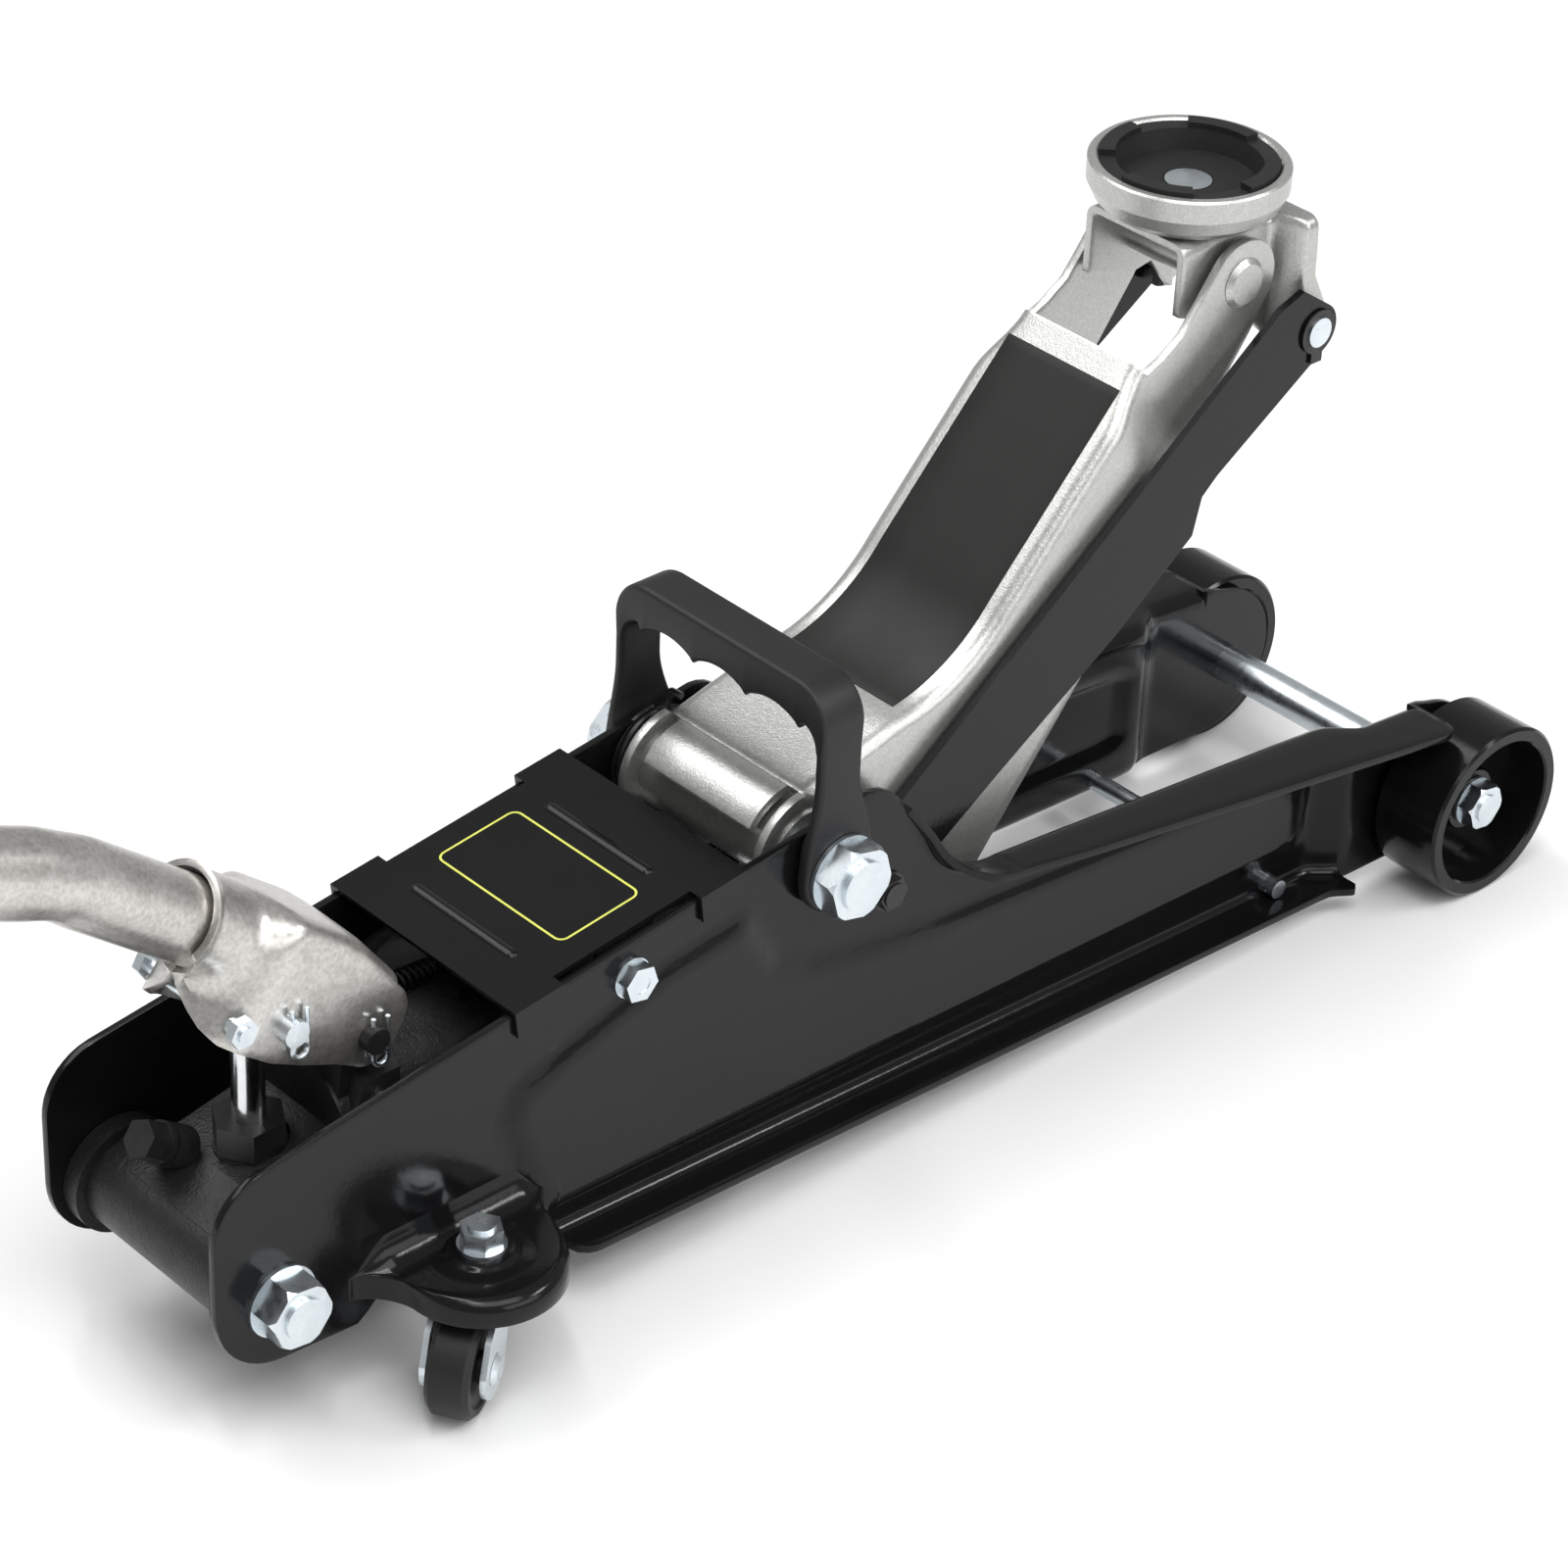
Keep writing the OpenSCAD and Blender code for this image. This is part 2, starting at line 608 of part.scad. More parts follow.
module pivot_nuts() color("#d5dadd") placed() both()
    nut_y(pivot, shaft_r, 27, 15.5, out_y + eye_t + 0.6, out_y + eye_t + 0.6 + nut_h, 14);

module carry_handle() color("#1e1e1f") placed() {
    x = pivot[0];
    in = out_y + 0.7;
    leg_in = out_y + 2.6;
    leg_top = pivot_z + 62;
    difference() {
        union() {
            both() {
                pin(pivot, 17, in, in + eye_t - 0.4);
                side(leg_in, in + eye_t - 0.4) polygon([[x - 15, pivot_z + 6], [x + 15, pivot_z + 6],
                    [x + 9, pivot_z + 30], [x + 9, leg_top], [x - 11, leg_top], [x - 11, pivot_z + 30]]);
            }
            // cross bar with a round shoulder on each side
            translate([x - 11, 0, 0]) rotate([90, 0, 90]) linear_extrude(20) polygon(concat(
                arc([in + eye_t - 16.4, leg_top], 16, 0, 90),
                arc([-in - eye_t + 16.4, leg_top], 16, 90, 180),
                [[-leg_in, leg_top]],
                arc([-leg_in + 4, leg_top - 6], 4, 180, 90, 4), [for (i = [-3:3], t = [0:30:180])
                    [i * 13 - 6.5 * cos(t), leg_top - 3.5 + 2.5 * sin(t)]],
                arc([leg_in - 4, leg_top - 6], 4, 90, 0, 4), [[leg_in, leg_top]]));
        }
        pin(pivot, shaft_r + gap, -100, 100);
    }
}

// ---- handle

module handle_frame() translate([mouth[0], 0, mouth[1]]) rotate([0, handle_angle - 90, 0]) children();

module rear_frame(along) translate([bend[0] + along * rear_dir[0], 0, bend[1] + along * rear_dir[1]])
    rotate([0, handle_rear_angle - 90, 0]) children();

socket_cheek_y = 24;

module socket_cheek() polygon(concat([[-592, 176], [-590, 152], [-578, 143]],
    arc(plunger_pin, 14, 220, 300, 5), arc(socket_pivot, 12, 235, 380, 8),
    [[-512, 148], [-516, 160], [-535, 172], [-566, 198], [-577, 200]]));

module handle_socket() color("#a9a9a7") placed() difference() {
    wall = 2.6;
    r = handle_d / 2 + gap;
    y = socket_cheek_y;
    union() {
        // round mouth that grips the tube
        handle_frame() translate([0, 0, -12]) cylinder(r = r + wall, h = 30);
        // flat cheeks that straddle the pump's lugs
        both() side(y - wall, y) socket_cheek();
        // shoulder between the mouth and the cheeks, and the roof in front of it
        intersection() {
            side(-y, y) socket_cheek();
            union() {
                handle_frame() translate([-30, -y, -12]) cube([60, 2 * y, 5]);
                side(-y, y) polygon([[-511, 140], [-511, 150], [-515, 162], [-535, 174], [-566, 200],
                    [-577, 202], [-577, 196], [-567, 194], [-537, 168.5], [-519, 157], [-515, 148],
                    [-514.5, 140]]);
            }
        }
    }
    handle_frame() translate([0, 0, -60]) cylinder(r = r, h = 100);
    pin(socket_pivot, 5 + gap, -100, 100);
    pin(plunger_pin, 5 + gap, -100, 100);
    pin(clamp, 3 + gap, -100, 100);
}

// clevis pin with its head on the left and a cross hole on the right
module clevis_pin(p) difference() {
    union() {
        pin(p, 5, -29, socket_cheek_y + 1);
        pin(p, 8, socket_cheek_y + 0.2, socket_cheek_y + 3);
    }
    translate([p[0], -26, p[1]]) cylinder(r = 0.9 + gap, h = 20, center = true);
}
module socket_pivot_pin() color("#3a3a3c") placed() clevis_pin(socket_pivot);
module plunger_pin() color("#c3cdd3") placed() clevis_pin(plunger_pin);

// hairpin cotter: one leg through the pin, one beside it, joined by an eye
module hairpin(p) translate([p[0], -26, p[1]]) {
    translate([0, 0, -9]) cylinder(r = 0.9, h = 17);
    translate([6.2, 0, -9]) cylinder(r = 0.9, h = 16);
    translate([3.1, 0, -9]) rotate([90, 0, 0]) rotate_extrude() translate([3.1, 0]) circle(r = 1, $fn = 24);
}
module plunger_cotter() color("#d5dadd") placed() hairpin(plunger_pin);
module pivot_cotter() color("#d5dadd") placed() hairpin(socket_pivot);

module clamp_bolt() color("#c9ced2") placed() {
    pin(clamp, 3, -socket_cheek_y - 5, socket_cheek_y + 5);
    both() hex_y(clamp, 10, socket_cheek_y + 0.1, socket_cheek_y + 4);
}

module handle_lower_tube() color("#b9b9b7") placed() {
    r = handle_d / 2;
    difference() {
        union() {
            handle_frame() translate([0, 0, -10]) cylinder(r = r, h = bend_back + 10);
            translate([bend[0], 0, bend[1]]) sphere(r = r + 0.2);
            rear_frame(0) cylinder(r = r, h = 150);
        }
        rear_frame(20) cylinder(r = r - 2, h = 200);
        rear_frame(120) rotate([0, -90, 0]) cylinder(r = 3 + gap, h = 40);
    }
}

module handle_upper_tube() color("#b9b9b7") placed() difference() {
    rear_frame(60) cylinder(r = handle_d / 2 - 2 - gap, h = handle_len - 64);
    rear_frame(50) cylinder(r = handle_d / 2 - 4, h = handle_len);
    rear_frame(120) rotate([0, -90, 0]) cylinder(r = 3 + gap, h = 40);
}

// sprung button that locks the two tubes together
module handle_button() color("#c9ced2") placed() rear_frame(120) rotate([0, -90, 0])
    translate([0, 0, 10]) cylinder(r = 3, h = handle_d / 2 - 8);

module handle_grip() color("#1e1e1f") placed() difference() {
    rear_frame(handle_len - grip_len) cylinder(r = grip_r, h = grip_len);
    rear_frame(handle_len - grip_len - 1) cylinder(r = handle_d / 2 - 2, h = grip_len - 3);
}

// ---- casters

module caster_frame() translate([caster[0], caster[1], 0]) rotate(-caster_turn) children();

module caster_bolt() translate([caster[0], caster[1], 0]) {
    translate([0, 0, 41]) cylinder(r = 5, h = ear_top + 10 - 41);
    translate([0, 0, 40]) cylinder(r = 8, h = 3);
    translate([0, 0, ear_top]) cylinder(r = 9, h = 1.6);
    translate([0, 0, ear_top + 1.6]) cylinder(d = 14 / cos(30), h = 7, $fn = 6);
}
module caster_bolts() color("#d5dadd") placed() both() caster_bolt();

module caster_fork() caster_frame() difference() {
    union() {
        // top plate and the swivel race on it
        translate([0, 0, 44.4]) cylinder(r = 14, h = 2.4);
        translate([0, 0, 46.6]) cylinder(r = 12.5, h = 2.2);
        for (s = [-1, 1]) side(s > 0 ? 10 : -12.2, s > 0 ? 12.2 : -10) polygon(concat(
            [[-8, 46.8], [-15, 43], [-26, 34]],
            arc([-caster_trail, caster_r], 11, 165, 360, 12), [[-5, 32], [8, 41], [8, 46.8]]));
        translate([-8, -12.2, 44.4]) cube([16, 24.4, 2.4]);
    }
    translate([0, 0, 30]) cylinder(r = 5 + gap, h = 40);
    pin([-caster_trail, caster_r], 3.5 + gap, -40, 40);
}
module caster_fork_left() color("#ccd4d8") placed() caster_fork();
module caster_fork_right() color("#ccd4d8") placed() right() caster_fork();

module caster_wheel() caster_frame() translate([-caster_trail, -8.5, caster_r]) rotate([-90, 0, 0])
    difference() {
        r = caster_r;
        rotate_extrude() polygon([[0, 0], [6, 0], [6, 1.5], [r - 5, 1.5], [r - 4, 0.4], [r - 2, 0.4],
            [r, 2.4], [r, 14.6], [r - 2, 16.6], [r - 4, 16.6], [r - 5, 15.5], [6, 15.5], [6, 17], [0, 17]]);
        translate([0, 0, -1]) cylinder(r = 3.5 + gap, h = 40);
    }
module caster_wheel_left() color("#1c1c1e") placed() caster_wheel();
module caster_wheel_right() color("#1c1c1e") placed() right() caster_wheel();

module caster_axle() caster_frame() {
    pin([-caster_trail, caster_r], 3.5, -13.2, 13.2);
    for (s = [-1, 1]) cone_pin([-caster_trail, caster_r], s > 0 ? 6 : 4, s > 0 ? 4 : 6,
        s > 0 ? 12.3 : -14, s > 0 ? 14 : -12.3);
}
module caster_axle_left() color("#c9ced2") placed() caster_axle();
module caster_axle_right() color("#c9ced2") placed() right() caster_axle();

// ---- springs

spring_side = 29.3;

// close-wound pull spring from the anchor pin to the ram pin
module return_spring() {
    span = ram_pin_at - anchor;
    len = norm(span);
    coil = 5.4;
    wire = 1.8;
    turns = 60;
    pitch = (len - 26) / turns;
    translate([anchor[0], spring_side, anchor[1]]) rotate([0, 90 - atan2(span[1], span[0]), 0]) {
        translate([0, 0, 13]) rotate_extrude() polygon(concat(
            [for (i = [0:turns - 1], t = [0, 1]) [coil - 0.5 + t * 0.5, (i + t * 0.5) * pitch]],
            [[coil - 0.5, turns * pitch], [coil - wire, turns * pitch], [coil - wire, 0]]));
        for (end = [0, 1]) translate([0, 0, end * len]) rotate([90, 0, 0]) rotate_extrude()
            translate([eye_r[end] + wire / 2 + gap, 0]) circle(r = wire / 2, $fn = 24);
        for (end = [0, 1]) {
            reach = eye_r[end] + wire / 2;
            z = end == 0 ? reach : 13 + turns * pitch - 0.6;
            translate([0, 0, z]) cylinder(r = wire / 2, h = 13.6 - reach);
            translate([0, 0, end == 0 ? 13 : 11.8 + turns * pitch]) cylinder(r = coil - 1, h = 1.2);
        }
    }
}
module return_spring_left() color("#2a2a2c") placed() return_spring();
module return_spring_right() color("#2a2a2c") placed() right() return_spring();

// coil on the pivot shaft whose leg hooks over the arm's back
module pivot_spring() color("#1f1f21") placed() {
    wire = 1.5;
    y0 = arm_side + 1.6;
    turns = 2;
    translate([pivot[0], y0, pivot[1]]) rotate([-90, 0, 0]) rotate_extrude() polygon(concat(
        [[17.6, 0]], [for (i = [0:turns - 1], t = [0, 1]) [20.4 + t, (i + t * 0.5) * 2.9]],
        [[20.4, turns * 2.9], [17.6, turns * 2.9]]));
    translate([pivot[0] + 2, y0 + wire, pivot[1] + 19]) cylinder(r = wire, h = 12.5);
    translate([pivot[0] + 2, y0 - 9, pivot[1] + 30]) rotate([-90, 0, 0]) cylinder(r = wire, h = 12);
}

side_plate_right();
side_plate_left();
cover_plate();
cover_bolts();
front_axle();
front_axle_nuts();
cross_rod();
pump_block();
tie_rod();
tie_rod_nuts();
reservoir_tube();
cylinder_gland();
filler_plug();
pump_gland();
pivot_shaft();
pivot_nuts();
link_pivot_pins();
spring_pegs();
socket_pivot_pin();
lift_arm();
arm_cross_tube();
ram_pin();
arm_panel();
saddle_pin();
saddle_bracket();
link_top_pins();
link_clips();
saddle_cup();
saddle_insert();
saddle_rivet();
link_right();
link_left();
ram_rod();
ram_fork();
pump_plunger();
release_valve();
handle_socket();
plunger_pin();
plunger_cotter();
pivot_cotter();
clamp_bolt();
handle_lower_tube();
handle_upper_tube();
handle_button();
handle_grip();
carry_handle();
caster_bolts();
caster_fork_right();
caster_fork_left();
caster_wheel_right();
caster_wheel_left();
caster_axle_right();
caster_axle_left();
front_roller_right();
front_roller_left();
return_spring_right();
return_spring_left();
pivot_spring();
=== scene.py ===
import math

import bmesh
import bpy
from mathutils import Matrix, Vector


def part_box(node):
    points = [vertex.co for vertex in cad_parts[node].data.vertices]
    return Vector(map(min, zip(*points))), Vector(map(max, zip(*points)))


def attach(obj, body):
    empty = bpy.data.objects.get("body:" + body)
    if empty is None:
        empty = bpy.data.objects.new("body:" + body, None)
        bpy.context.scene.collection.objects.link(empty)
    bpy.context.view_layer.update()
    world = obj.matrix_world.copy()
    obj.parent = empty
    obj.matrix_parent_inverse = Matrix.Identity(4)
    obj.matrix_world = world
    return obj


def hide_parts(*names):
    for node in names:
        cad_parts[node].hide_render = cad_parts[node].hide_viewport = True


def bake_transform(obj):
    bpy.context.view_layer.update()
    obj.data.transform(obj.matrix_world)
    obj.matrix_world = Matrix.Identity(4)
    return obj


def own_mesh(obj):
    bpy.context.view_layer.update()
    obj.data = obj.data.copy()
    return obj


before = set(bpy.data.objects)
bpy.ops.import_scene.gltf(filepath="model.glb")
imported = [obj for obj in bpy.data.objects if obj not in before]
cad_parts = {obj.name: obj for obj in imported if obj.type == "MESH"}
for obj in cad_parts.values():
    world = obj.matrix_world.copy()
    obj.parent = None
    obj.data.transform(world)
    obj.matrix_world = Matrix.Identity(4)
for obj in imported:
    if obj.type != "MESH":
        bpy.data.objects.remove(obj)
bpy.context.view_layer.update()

# ---- Floor, lights and camera
# A pale studio floor under two broad soft lamps, with a narrow strip and a small
# edge lamp for the gloss paint's highlights, and a low fill lamp in front.

axle_low, axle_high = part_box("front_axle")
front = (axle_low + axle_high) / 2
front.z = 0.0

floor_mesh = bpy.data.meshes.new("floor")
floor_mesh.from_pydata([(-6, -6, 0), (6, -6, 0), (6, 6, 0), (-6, 6, 0)], [], [(0, 1, 2, 3)])
floor = bpy.data.objects.new("floor", floor_mesh)
bpy.context.collection.objects.link(floor)


class Tone:
    """A socket of a finish. Sums and products of tones add their Math nodes."""

    def __init__(self, tree, socket=None):
        self.tree = tree
        self.socket = socket

    def node(self, kind, settings=None, inputs=None, out=0):
        made = self.tree.nodes.new(kind)
        for key, value in (settings or {}).items():
            setattr(made, key, value)
        for key, value in (inputs or {}).items():
            if isinstance(value, Tone):
                self.tree.links.new(value.socket, made.inputs[key])
            else:
                made.inputs[key].default_value = value
        return Tone(self.tree, made.outputs[out])

    def maths(self, operation, a, b=0.0):
        return self.node("ShaderNodeMath", {"operation": operation}, {0: a, 1: b})

    def __add__(self, other):
        return self.maths("ADD", self, other)

    def __mul__(self, other):
        return self.maths("MULTIPLY", self, other)

    __radd__ = __add__
    __rmul__ = __mul__

    def place(self):
        return self.node("ShaderNodeTexCoord", out="Object")

    def grain(self, scale, detail=3.0, rough=0.5, stretch=None):
        where = self.place()
        if stretch:
            where = self.node("ShaderNodeMapping", {}, {"Vector": where, "Scale": stretch})
        return self.node("ShaderNodeTexNoise", {}, {"Vector": where, "Scale": scale, "Detail": detail,
                                                    "Roughness": rough})

    def cells(self, scale):
        return self.node("ShaderNodeTexVoronoi", {}, {"Vector": self.place(), "Scale": scale})

    def step(self, low, high):
        return self.node("ShaderNodeMapRange", {"interpolation_type": "SMOOTHSTEP"},
                         {"Value": self, "From Min": low, "From Max": high})

    def colour(self, first, second):
        return self.node("ShaderNodeMix", {"data_type": "RGBA"},
                         {0: self, 6: (*first, 1.0), 7: (*second, 1.0)}, out=2)

    def bump(self, height, distance, strength=1.0):
        return self.node("ShaderNodeBump", {}, {"Height": height, "Distance": distance,
                                                "Strength": strength})


def new_finish(name):
    """A fresh material: itself, its shader's inputs, and a tone to start from."""
    made = bpy.data.materials.new(name)
    made.use_nodes = True
    shader = made.node_tree.nodes["Principled BSDF"]
    return made, shader.inputs, Tone(made.node_tree)


def link(tone, socket):
    tone.tree.links.new(tone.socket, socket)


floor_paint, inputs, start = new_finish("floor_paint")
link(start.grain(3.0).colour((0.80, 0.80, 0.80), (0.84, 0.84, 0.84)), inputs["Base Color"])
inputs["Roughness"].default_value = 0.6
inputs["Specular IOR Level"].default_value = 0.25
floor_mesh.materials.append(floor_paint)


def lamp(name, place, target, width, height, watts):
    data = bpy.data.lights.new(name, "AREA")
    data.shape = "RECTANGLE"
    data.size = width
    data.size_y = height
    data.energy = watts
    made = bpy.data.objects.new(name, data)
    made.location = place
    made.rotation_euler = (Vector(target) - Vector(place)).to_track_quat("-Z", "Y").to_euler()
    bpy.context.collection.objects.link(made)


lamp("top_lamp", (-0.5, 1.5, 2.5), (0, 0, 0.1), 2.4, 1.6, 40)
lamp("front_lamp", (-0.3, -1.5, 2.9), (0, 0, 0.1), 2.6, 1.8, 52)
lamp("strip_lamp", (-0.2, 0.1, 2.7), (0, 0, 0.1), 2.6, 0.22, 22)
lamp("edge_lamp", (1.7, -1.6, 1.9), (-0.1, 0, 0.1), 0.8, 0.4, 17)
lamp("fill_lamp", (0.6, -2.8, 1.3), (0, 0, 0.1), 2.4, 1.2, 22)

world = bpy.data.worlds.new("studio")
world.use_nodes = True
world.node_tree.nodes["Background"].inputs["Color"].default_value = (1, 1, 1, 1)
world.node_tree.nodes["Background"].inputs["Strength"].default_value = 0.42
bpy.context.scene.world = world
bpy.context.scene.view_settings.view_transform = "Standard"

yaw, pitch, roll = math.radians(46.09), math.radians(-32.88), math.radians(2.68)
ahead = Vector((math.cos(yaw) * math.cos(pitch), math.sin(yaw) * math.cos(pitch), math.sin(pitch)))
across = Vector((math.sin(yaw), -math.cos(yaw), 0))
upward = across.cross(ahead)
camera_x = math.cos(roll) * across + math.sin(roll) * upward
camera_y = -math.sin(roll) * across + math.cos(roll) * upward
lens = bpy.data.cameras.new("camera")
lens.lens = 109.9
lens.sensor_width = 36
lens.clip_end = 30
camera = bpy.data.objects.new("camera", lens)
camera.matrix_world = Matrix.Translation(front + Vector((-1.3496, -1.0767, 1.0985))) @ Matrix(
    (camera_x, camera_y, -ahead)).transposed().to_4x4()
bpy.context.collection.objects.link(camera)
bpy.context.scene.camera = camera

# ---- Side plates
# Two pressed 3 mm steel plates with rolled flanges, baked in black gloss enamel.
# The caster ear is pressed out of each plate.

enamel, inputs, start = new_finish("black_enamel")
film = start.grain(9.0, 4.0)
link(film.colour((0.003, 0.003, 0.0034), (0.007, 0.007, 0.0076)), inputs["Base Color"])
link(0.09 + 0.13 * start.grain(38.0, 5.0, 0.6), inputs["Roughness"])
peel = start.grain(420.0, 2.0) + 1.6 * start.grain(60.0, 3.0)
link(start.bump(peel, 0.00012, 0.35), inputs["Normal"])
inputs["Specular IOR Level"].default_value = 0.24


def refinish(made, *nodes):
    """Gives CAD nodes a finish in every slot and softens their edges."""
    for name in nodes:
        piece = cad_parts[name]
        for place in piece.material_slots:
            place.material = made
        edges = piece.modifiers.new("edges", "BEVEL")
        edges.width = 0.0005
        edges.segments = 2
        edges.limit_method = "ANGLE"
        edges.angle_limit = math.radians(34)
        edges.harden_normals = False


MM = 0.001
PLATE_T = 3.0
OUT_Y, WEB_OUT = 49.5, 9.5
TOP_RISE = math.tan(math.radians(7.75))
FOOT_DROP = math.tan(math.radians(2.25))


def at(x, y, z):
    """A point in the model from millimetres ahead of the front axle, left and up."""
    return Vector((front.x + x * MM, y * MM, z * MM))


def bow(x, z, r, first, last, count=10):
    """Points along an arc, by its centre, radius and angles in degrees."""
    return [(x + r * math.cos(math.radians(first + (last - first) * i / count)),
             z + r * math.sin(math.radians(first + (last - first) * i / count))) for i in range(count + 1)]


def between(points, x):
    """The height of a line of points above x."""
    for (x0, z0), (x1, z1) in zip(points, points[1:]):
        if x <= x1:
            return z0 + (z1 - z0) * (x - x0) / max(x1 - x0, 1e-6)
    return points[-1][1]


def ease(value):
    value = min(max(value, 0.0), 1.0)
    return value * value * (3 - 2 * value)


def settle(piece, angle=38):
    """Makes a piece's modifiers part of its mesh, then shades it smooth up to an angle."""
    bpy.context.view_layer.update()
    solid = bpy.data.meshes.new_from_object(piece.evaluated_get(bpy.context.evaluated_depsgraph_get()))
    piece.modifiers.clear()
    piece.data = solid
    for face in solid.polygons:
        face.use_smooth = True
    solid.set_sharp_from_angle(angle=math.radians(angle))


def sheet_wall(piece, thickness, edge, angle=38, even=True):
    """Gives an outer skin its sheet thickness inwards, and eased edges."""
    wall = piece.modifiers.new("wall", "SOLIDIFY")
    wall.thickness = thickness * MM
    wall.offset = -1
    wall.use_even_offset = even
    rims = piece.modifiers.new("rims", "BEVEL")
    rims.width = edge * MM
    rims.segments = 2
    rims.limit_method = "ANGLE"
    rims.angle_limit = math.radians(50)
    settle(piece, angle)


def put(name, body, finish, mesh, *stands_for):
    """Places a mesh as a piece in a finish, riding on a body if one is given, for CAD nodes."""
    piece = bpy.data.objects.new(name, mesh)
    mesh.materials.clear()
    mesh.materials.append(finish)
    bpy.context.collection.objects.link(piece)
    if body:
        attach(piece, body)
    if stands_for:
        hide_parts(*stands_for)
    return piece


def loft(form, rings, closed=False, cap=False):
    """Adds faces between rows of points; a closed row joins its ends."""
    rows = [[form.verts.new(point) for point in ring] for ring in rings]
    for low, high in zip(rows, rows[1:]):
        count = len(low)
        for i in range(count if closed else count - 1):
            form.faces.new((low[i], low[(i + 1) % count], high[(i + 1) % count], high[i]))
    if cap:
        form.faces.new(list(reversed(rows[0])))
        form.faces.new(rows[-1])
    return rows


def turned(form, matrix, outline, count=48):
    """Adds a body of revolution about a matrix's Z axis from (radius, height) points."""
    rings = []
    for radius, height in outline:
        rings.append([matrix @ Vector((radius * MM * math.cos(2 * math.pi * i / count),
                                       radius * MM * math.sin(2 * math.pi * i / count), height * MM))
                      for i in range(count)])
    loft(form, rings, closed=True)


def to_mesh(form, name, weld=0.00002):
    bmesh.ops.remove_doubles(form, verts=form.verts, dist=weld)
    bmesh.ops.dissolve_degenerate(form, edges=form.edges, dist=0.00001)
    made = bpy.data.meshes.new(name)
    form.to_mesh(made)
    form.free()
    return made


def top_slope(x):
    return 139.7 + (x + 430) * TOP_RISE


def foot_height(x):
    return 28.4 - (x + 461) * FOOT_DROP


plate_top = (list(reversed(bow(-590, 93, 24, 97, 180))) + bow(-318, top_slope(-318) - 20, 20, 90, 12)
             + bow(-250, 141, 40, 205, 272, 16) + [(-17, 79.9)] + bow(-10, 42, 34, 80, 0, 16))
plate_bottom = (bow(-584, 64, 30, 180, 268) + [(-553, 32), (-547, 38), (-538, 43.5), (-530, 45.8),
                (-494, 45.8), (-486, 43.5), (-477, 38), (-472, 30), (-466, foot_height(-466) - 3),
                (-53, foot_height(-53) - 3)] + bow(-10, 42, 34, 262, 360, 16))
panel = [(-471, 40), (-486, 88), (-482, 98), (-466, 104), (-415, 120), (-378, 125), (-362, 100),
         (-345, 92), (-322, 87), (-276, 81), (-80, 66), (-70, 62), (-70, 36), (-78, 31)]


def inside_panel(x, z):
    """Distance in from the edge of the pressed panel, negative outside it."""
    nearest, within = 1e9, False
    for (x0, z0), (x1, z1) in zip(panel, panel[1:] + panel[:1]):
        along = ((x - x0) * (x1 - x0) + (z - z0) * (z1 - z0)) / ((x1 - x0) ** 2 + (z1 - z0) ** 2)
        along = min(max(along, 0.0), 1.0)
        nearest = min(nearest, math.hypot(x - x0 - along * (x1 - x0), z - z0 - along * (z1 - z0)))
        if (z0 > z) != (z1 > z) and x < x0 + (z - z0) * (x1 - x0) / (z1 - z0):
            within = not within
    return nearest if within else -nearest


def web_y(x, z=None):
    """How far out the plate's outer face stands."""
    y = OUT_Y + WEB_OUT * ease((x + 68) / 20)
    if z is not None:
        y += 3.0 * ease((inside_panel(x, z) + 5) / 9) * ease((x + 66) / -10)
    return y


def rail_width(x):
    if x < -300 or x > -17:
        return 0.0
    reach = between([(-300, 49.5), (-288, 52.5), (-262, 64), (-215, 69.5), (-25, 84), (-17, 84)], x)
    if x > -25:
        reach = 76 + math.sqrt(max(64 - (x + 25) ** 2, 0))
    return max(reach - web_y(x), 0.0)


def foot_width(x):
    if x < -466 or x > -53:
        return 0.0
    reach = 16.5
    if x < -456:
        reach = 6.5 + math.sqrt(max(100 - (x + 456) ** 2, 0))
    if x > -59:
        reach = 10.5 + math.sqrt(max(36 - (x + 59) ** 2, 0))
    return reach


stations = ([-614 + 24 * (1 - math.cos(math.radians(a))) for a in range(0, 90, 9)]
            + [-590 + 4 * i for i in range(31)] + [-466.05, -465.9, -464, -461, -458]
            + [-454 + 4 * i for i in range(39)] + [-300 + 2.5 * i for i in range(25)]
            + [-236 + 5 * i for i in range(34)] + [-66 + 2 * i for i in range(6)] + [-53.05, -52.9]
            + [-50 + 4 * i for i in range(6)] + [-26, -23, -20.5, -18.5, -17.05, -16.9, -13]
            + [-10 + 34 * math.sin(math.radians(a)) for a in range(0, 90, 7)] + [23.98])


def plate_column(x):
    top, bottom = between(plate_top, x), between(plate_bottom, x)
    rail, foot = rail_width(x), foot_width(x)
    bend = min(4.0, rail)
    lift = 3.0 * ease(rail / 6)
    sill = bottom + 3.0 if foot > 0 else bottom
    turn = min(5.0, foot)
    face = web_y(x)
    path = [(face + bend + (rail - bend) * (1 - i / 4), top - lift) for i in range(4)]
    path += [(face + bend - bend * math.sin(math.radians(a)),
              top - lift - bend * (1 - math.cos(math.radians(a))))
             for a in range(0, 90, 18)]
    high, low = top - lift - bend, sill + turn
    rows = 40
    for i in range(rows + 1):
        z = high + (low - high) * i / rows
        path.append((web_y(x, z), z))
    path += [(face + turn * (1 - math.cos(math.radians(a))), sill + turn * (1 - math.sin(math.radians(a))))
             for a in range(18, 91, 18)]
    path += [(face + turn + (foot - turn) * i / 3, sill) for i in (1, 2, 3)]
    return [(x, y, z) for y, z in path]


EAR_X, EAR_Y, EAR_R, ROOT_Y = -512.0, 66.0, 31.0, 49.45


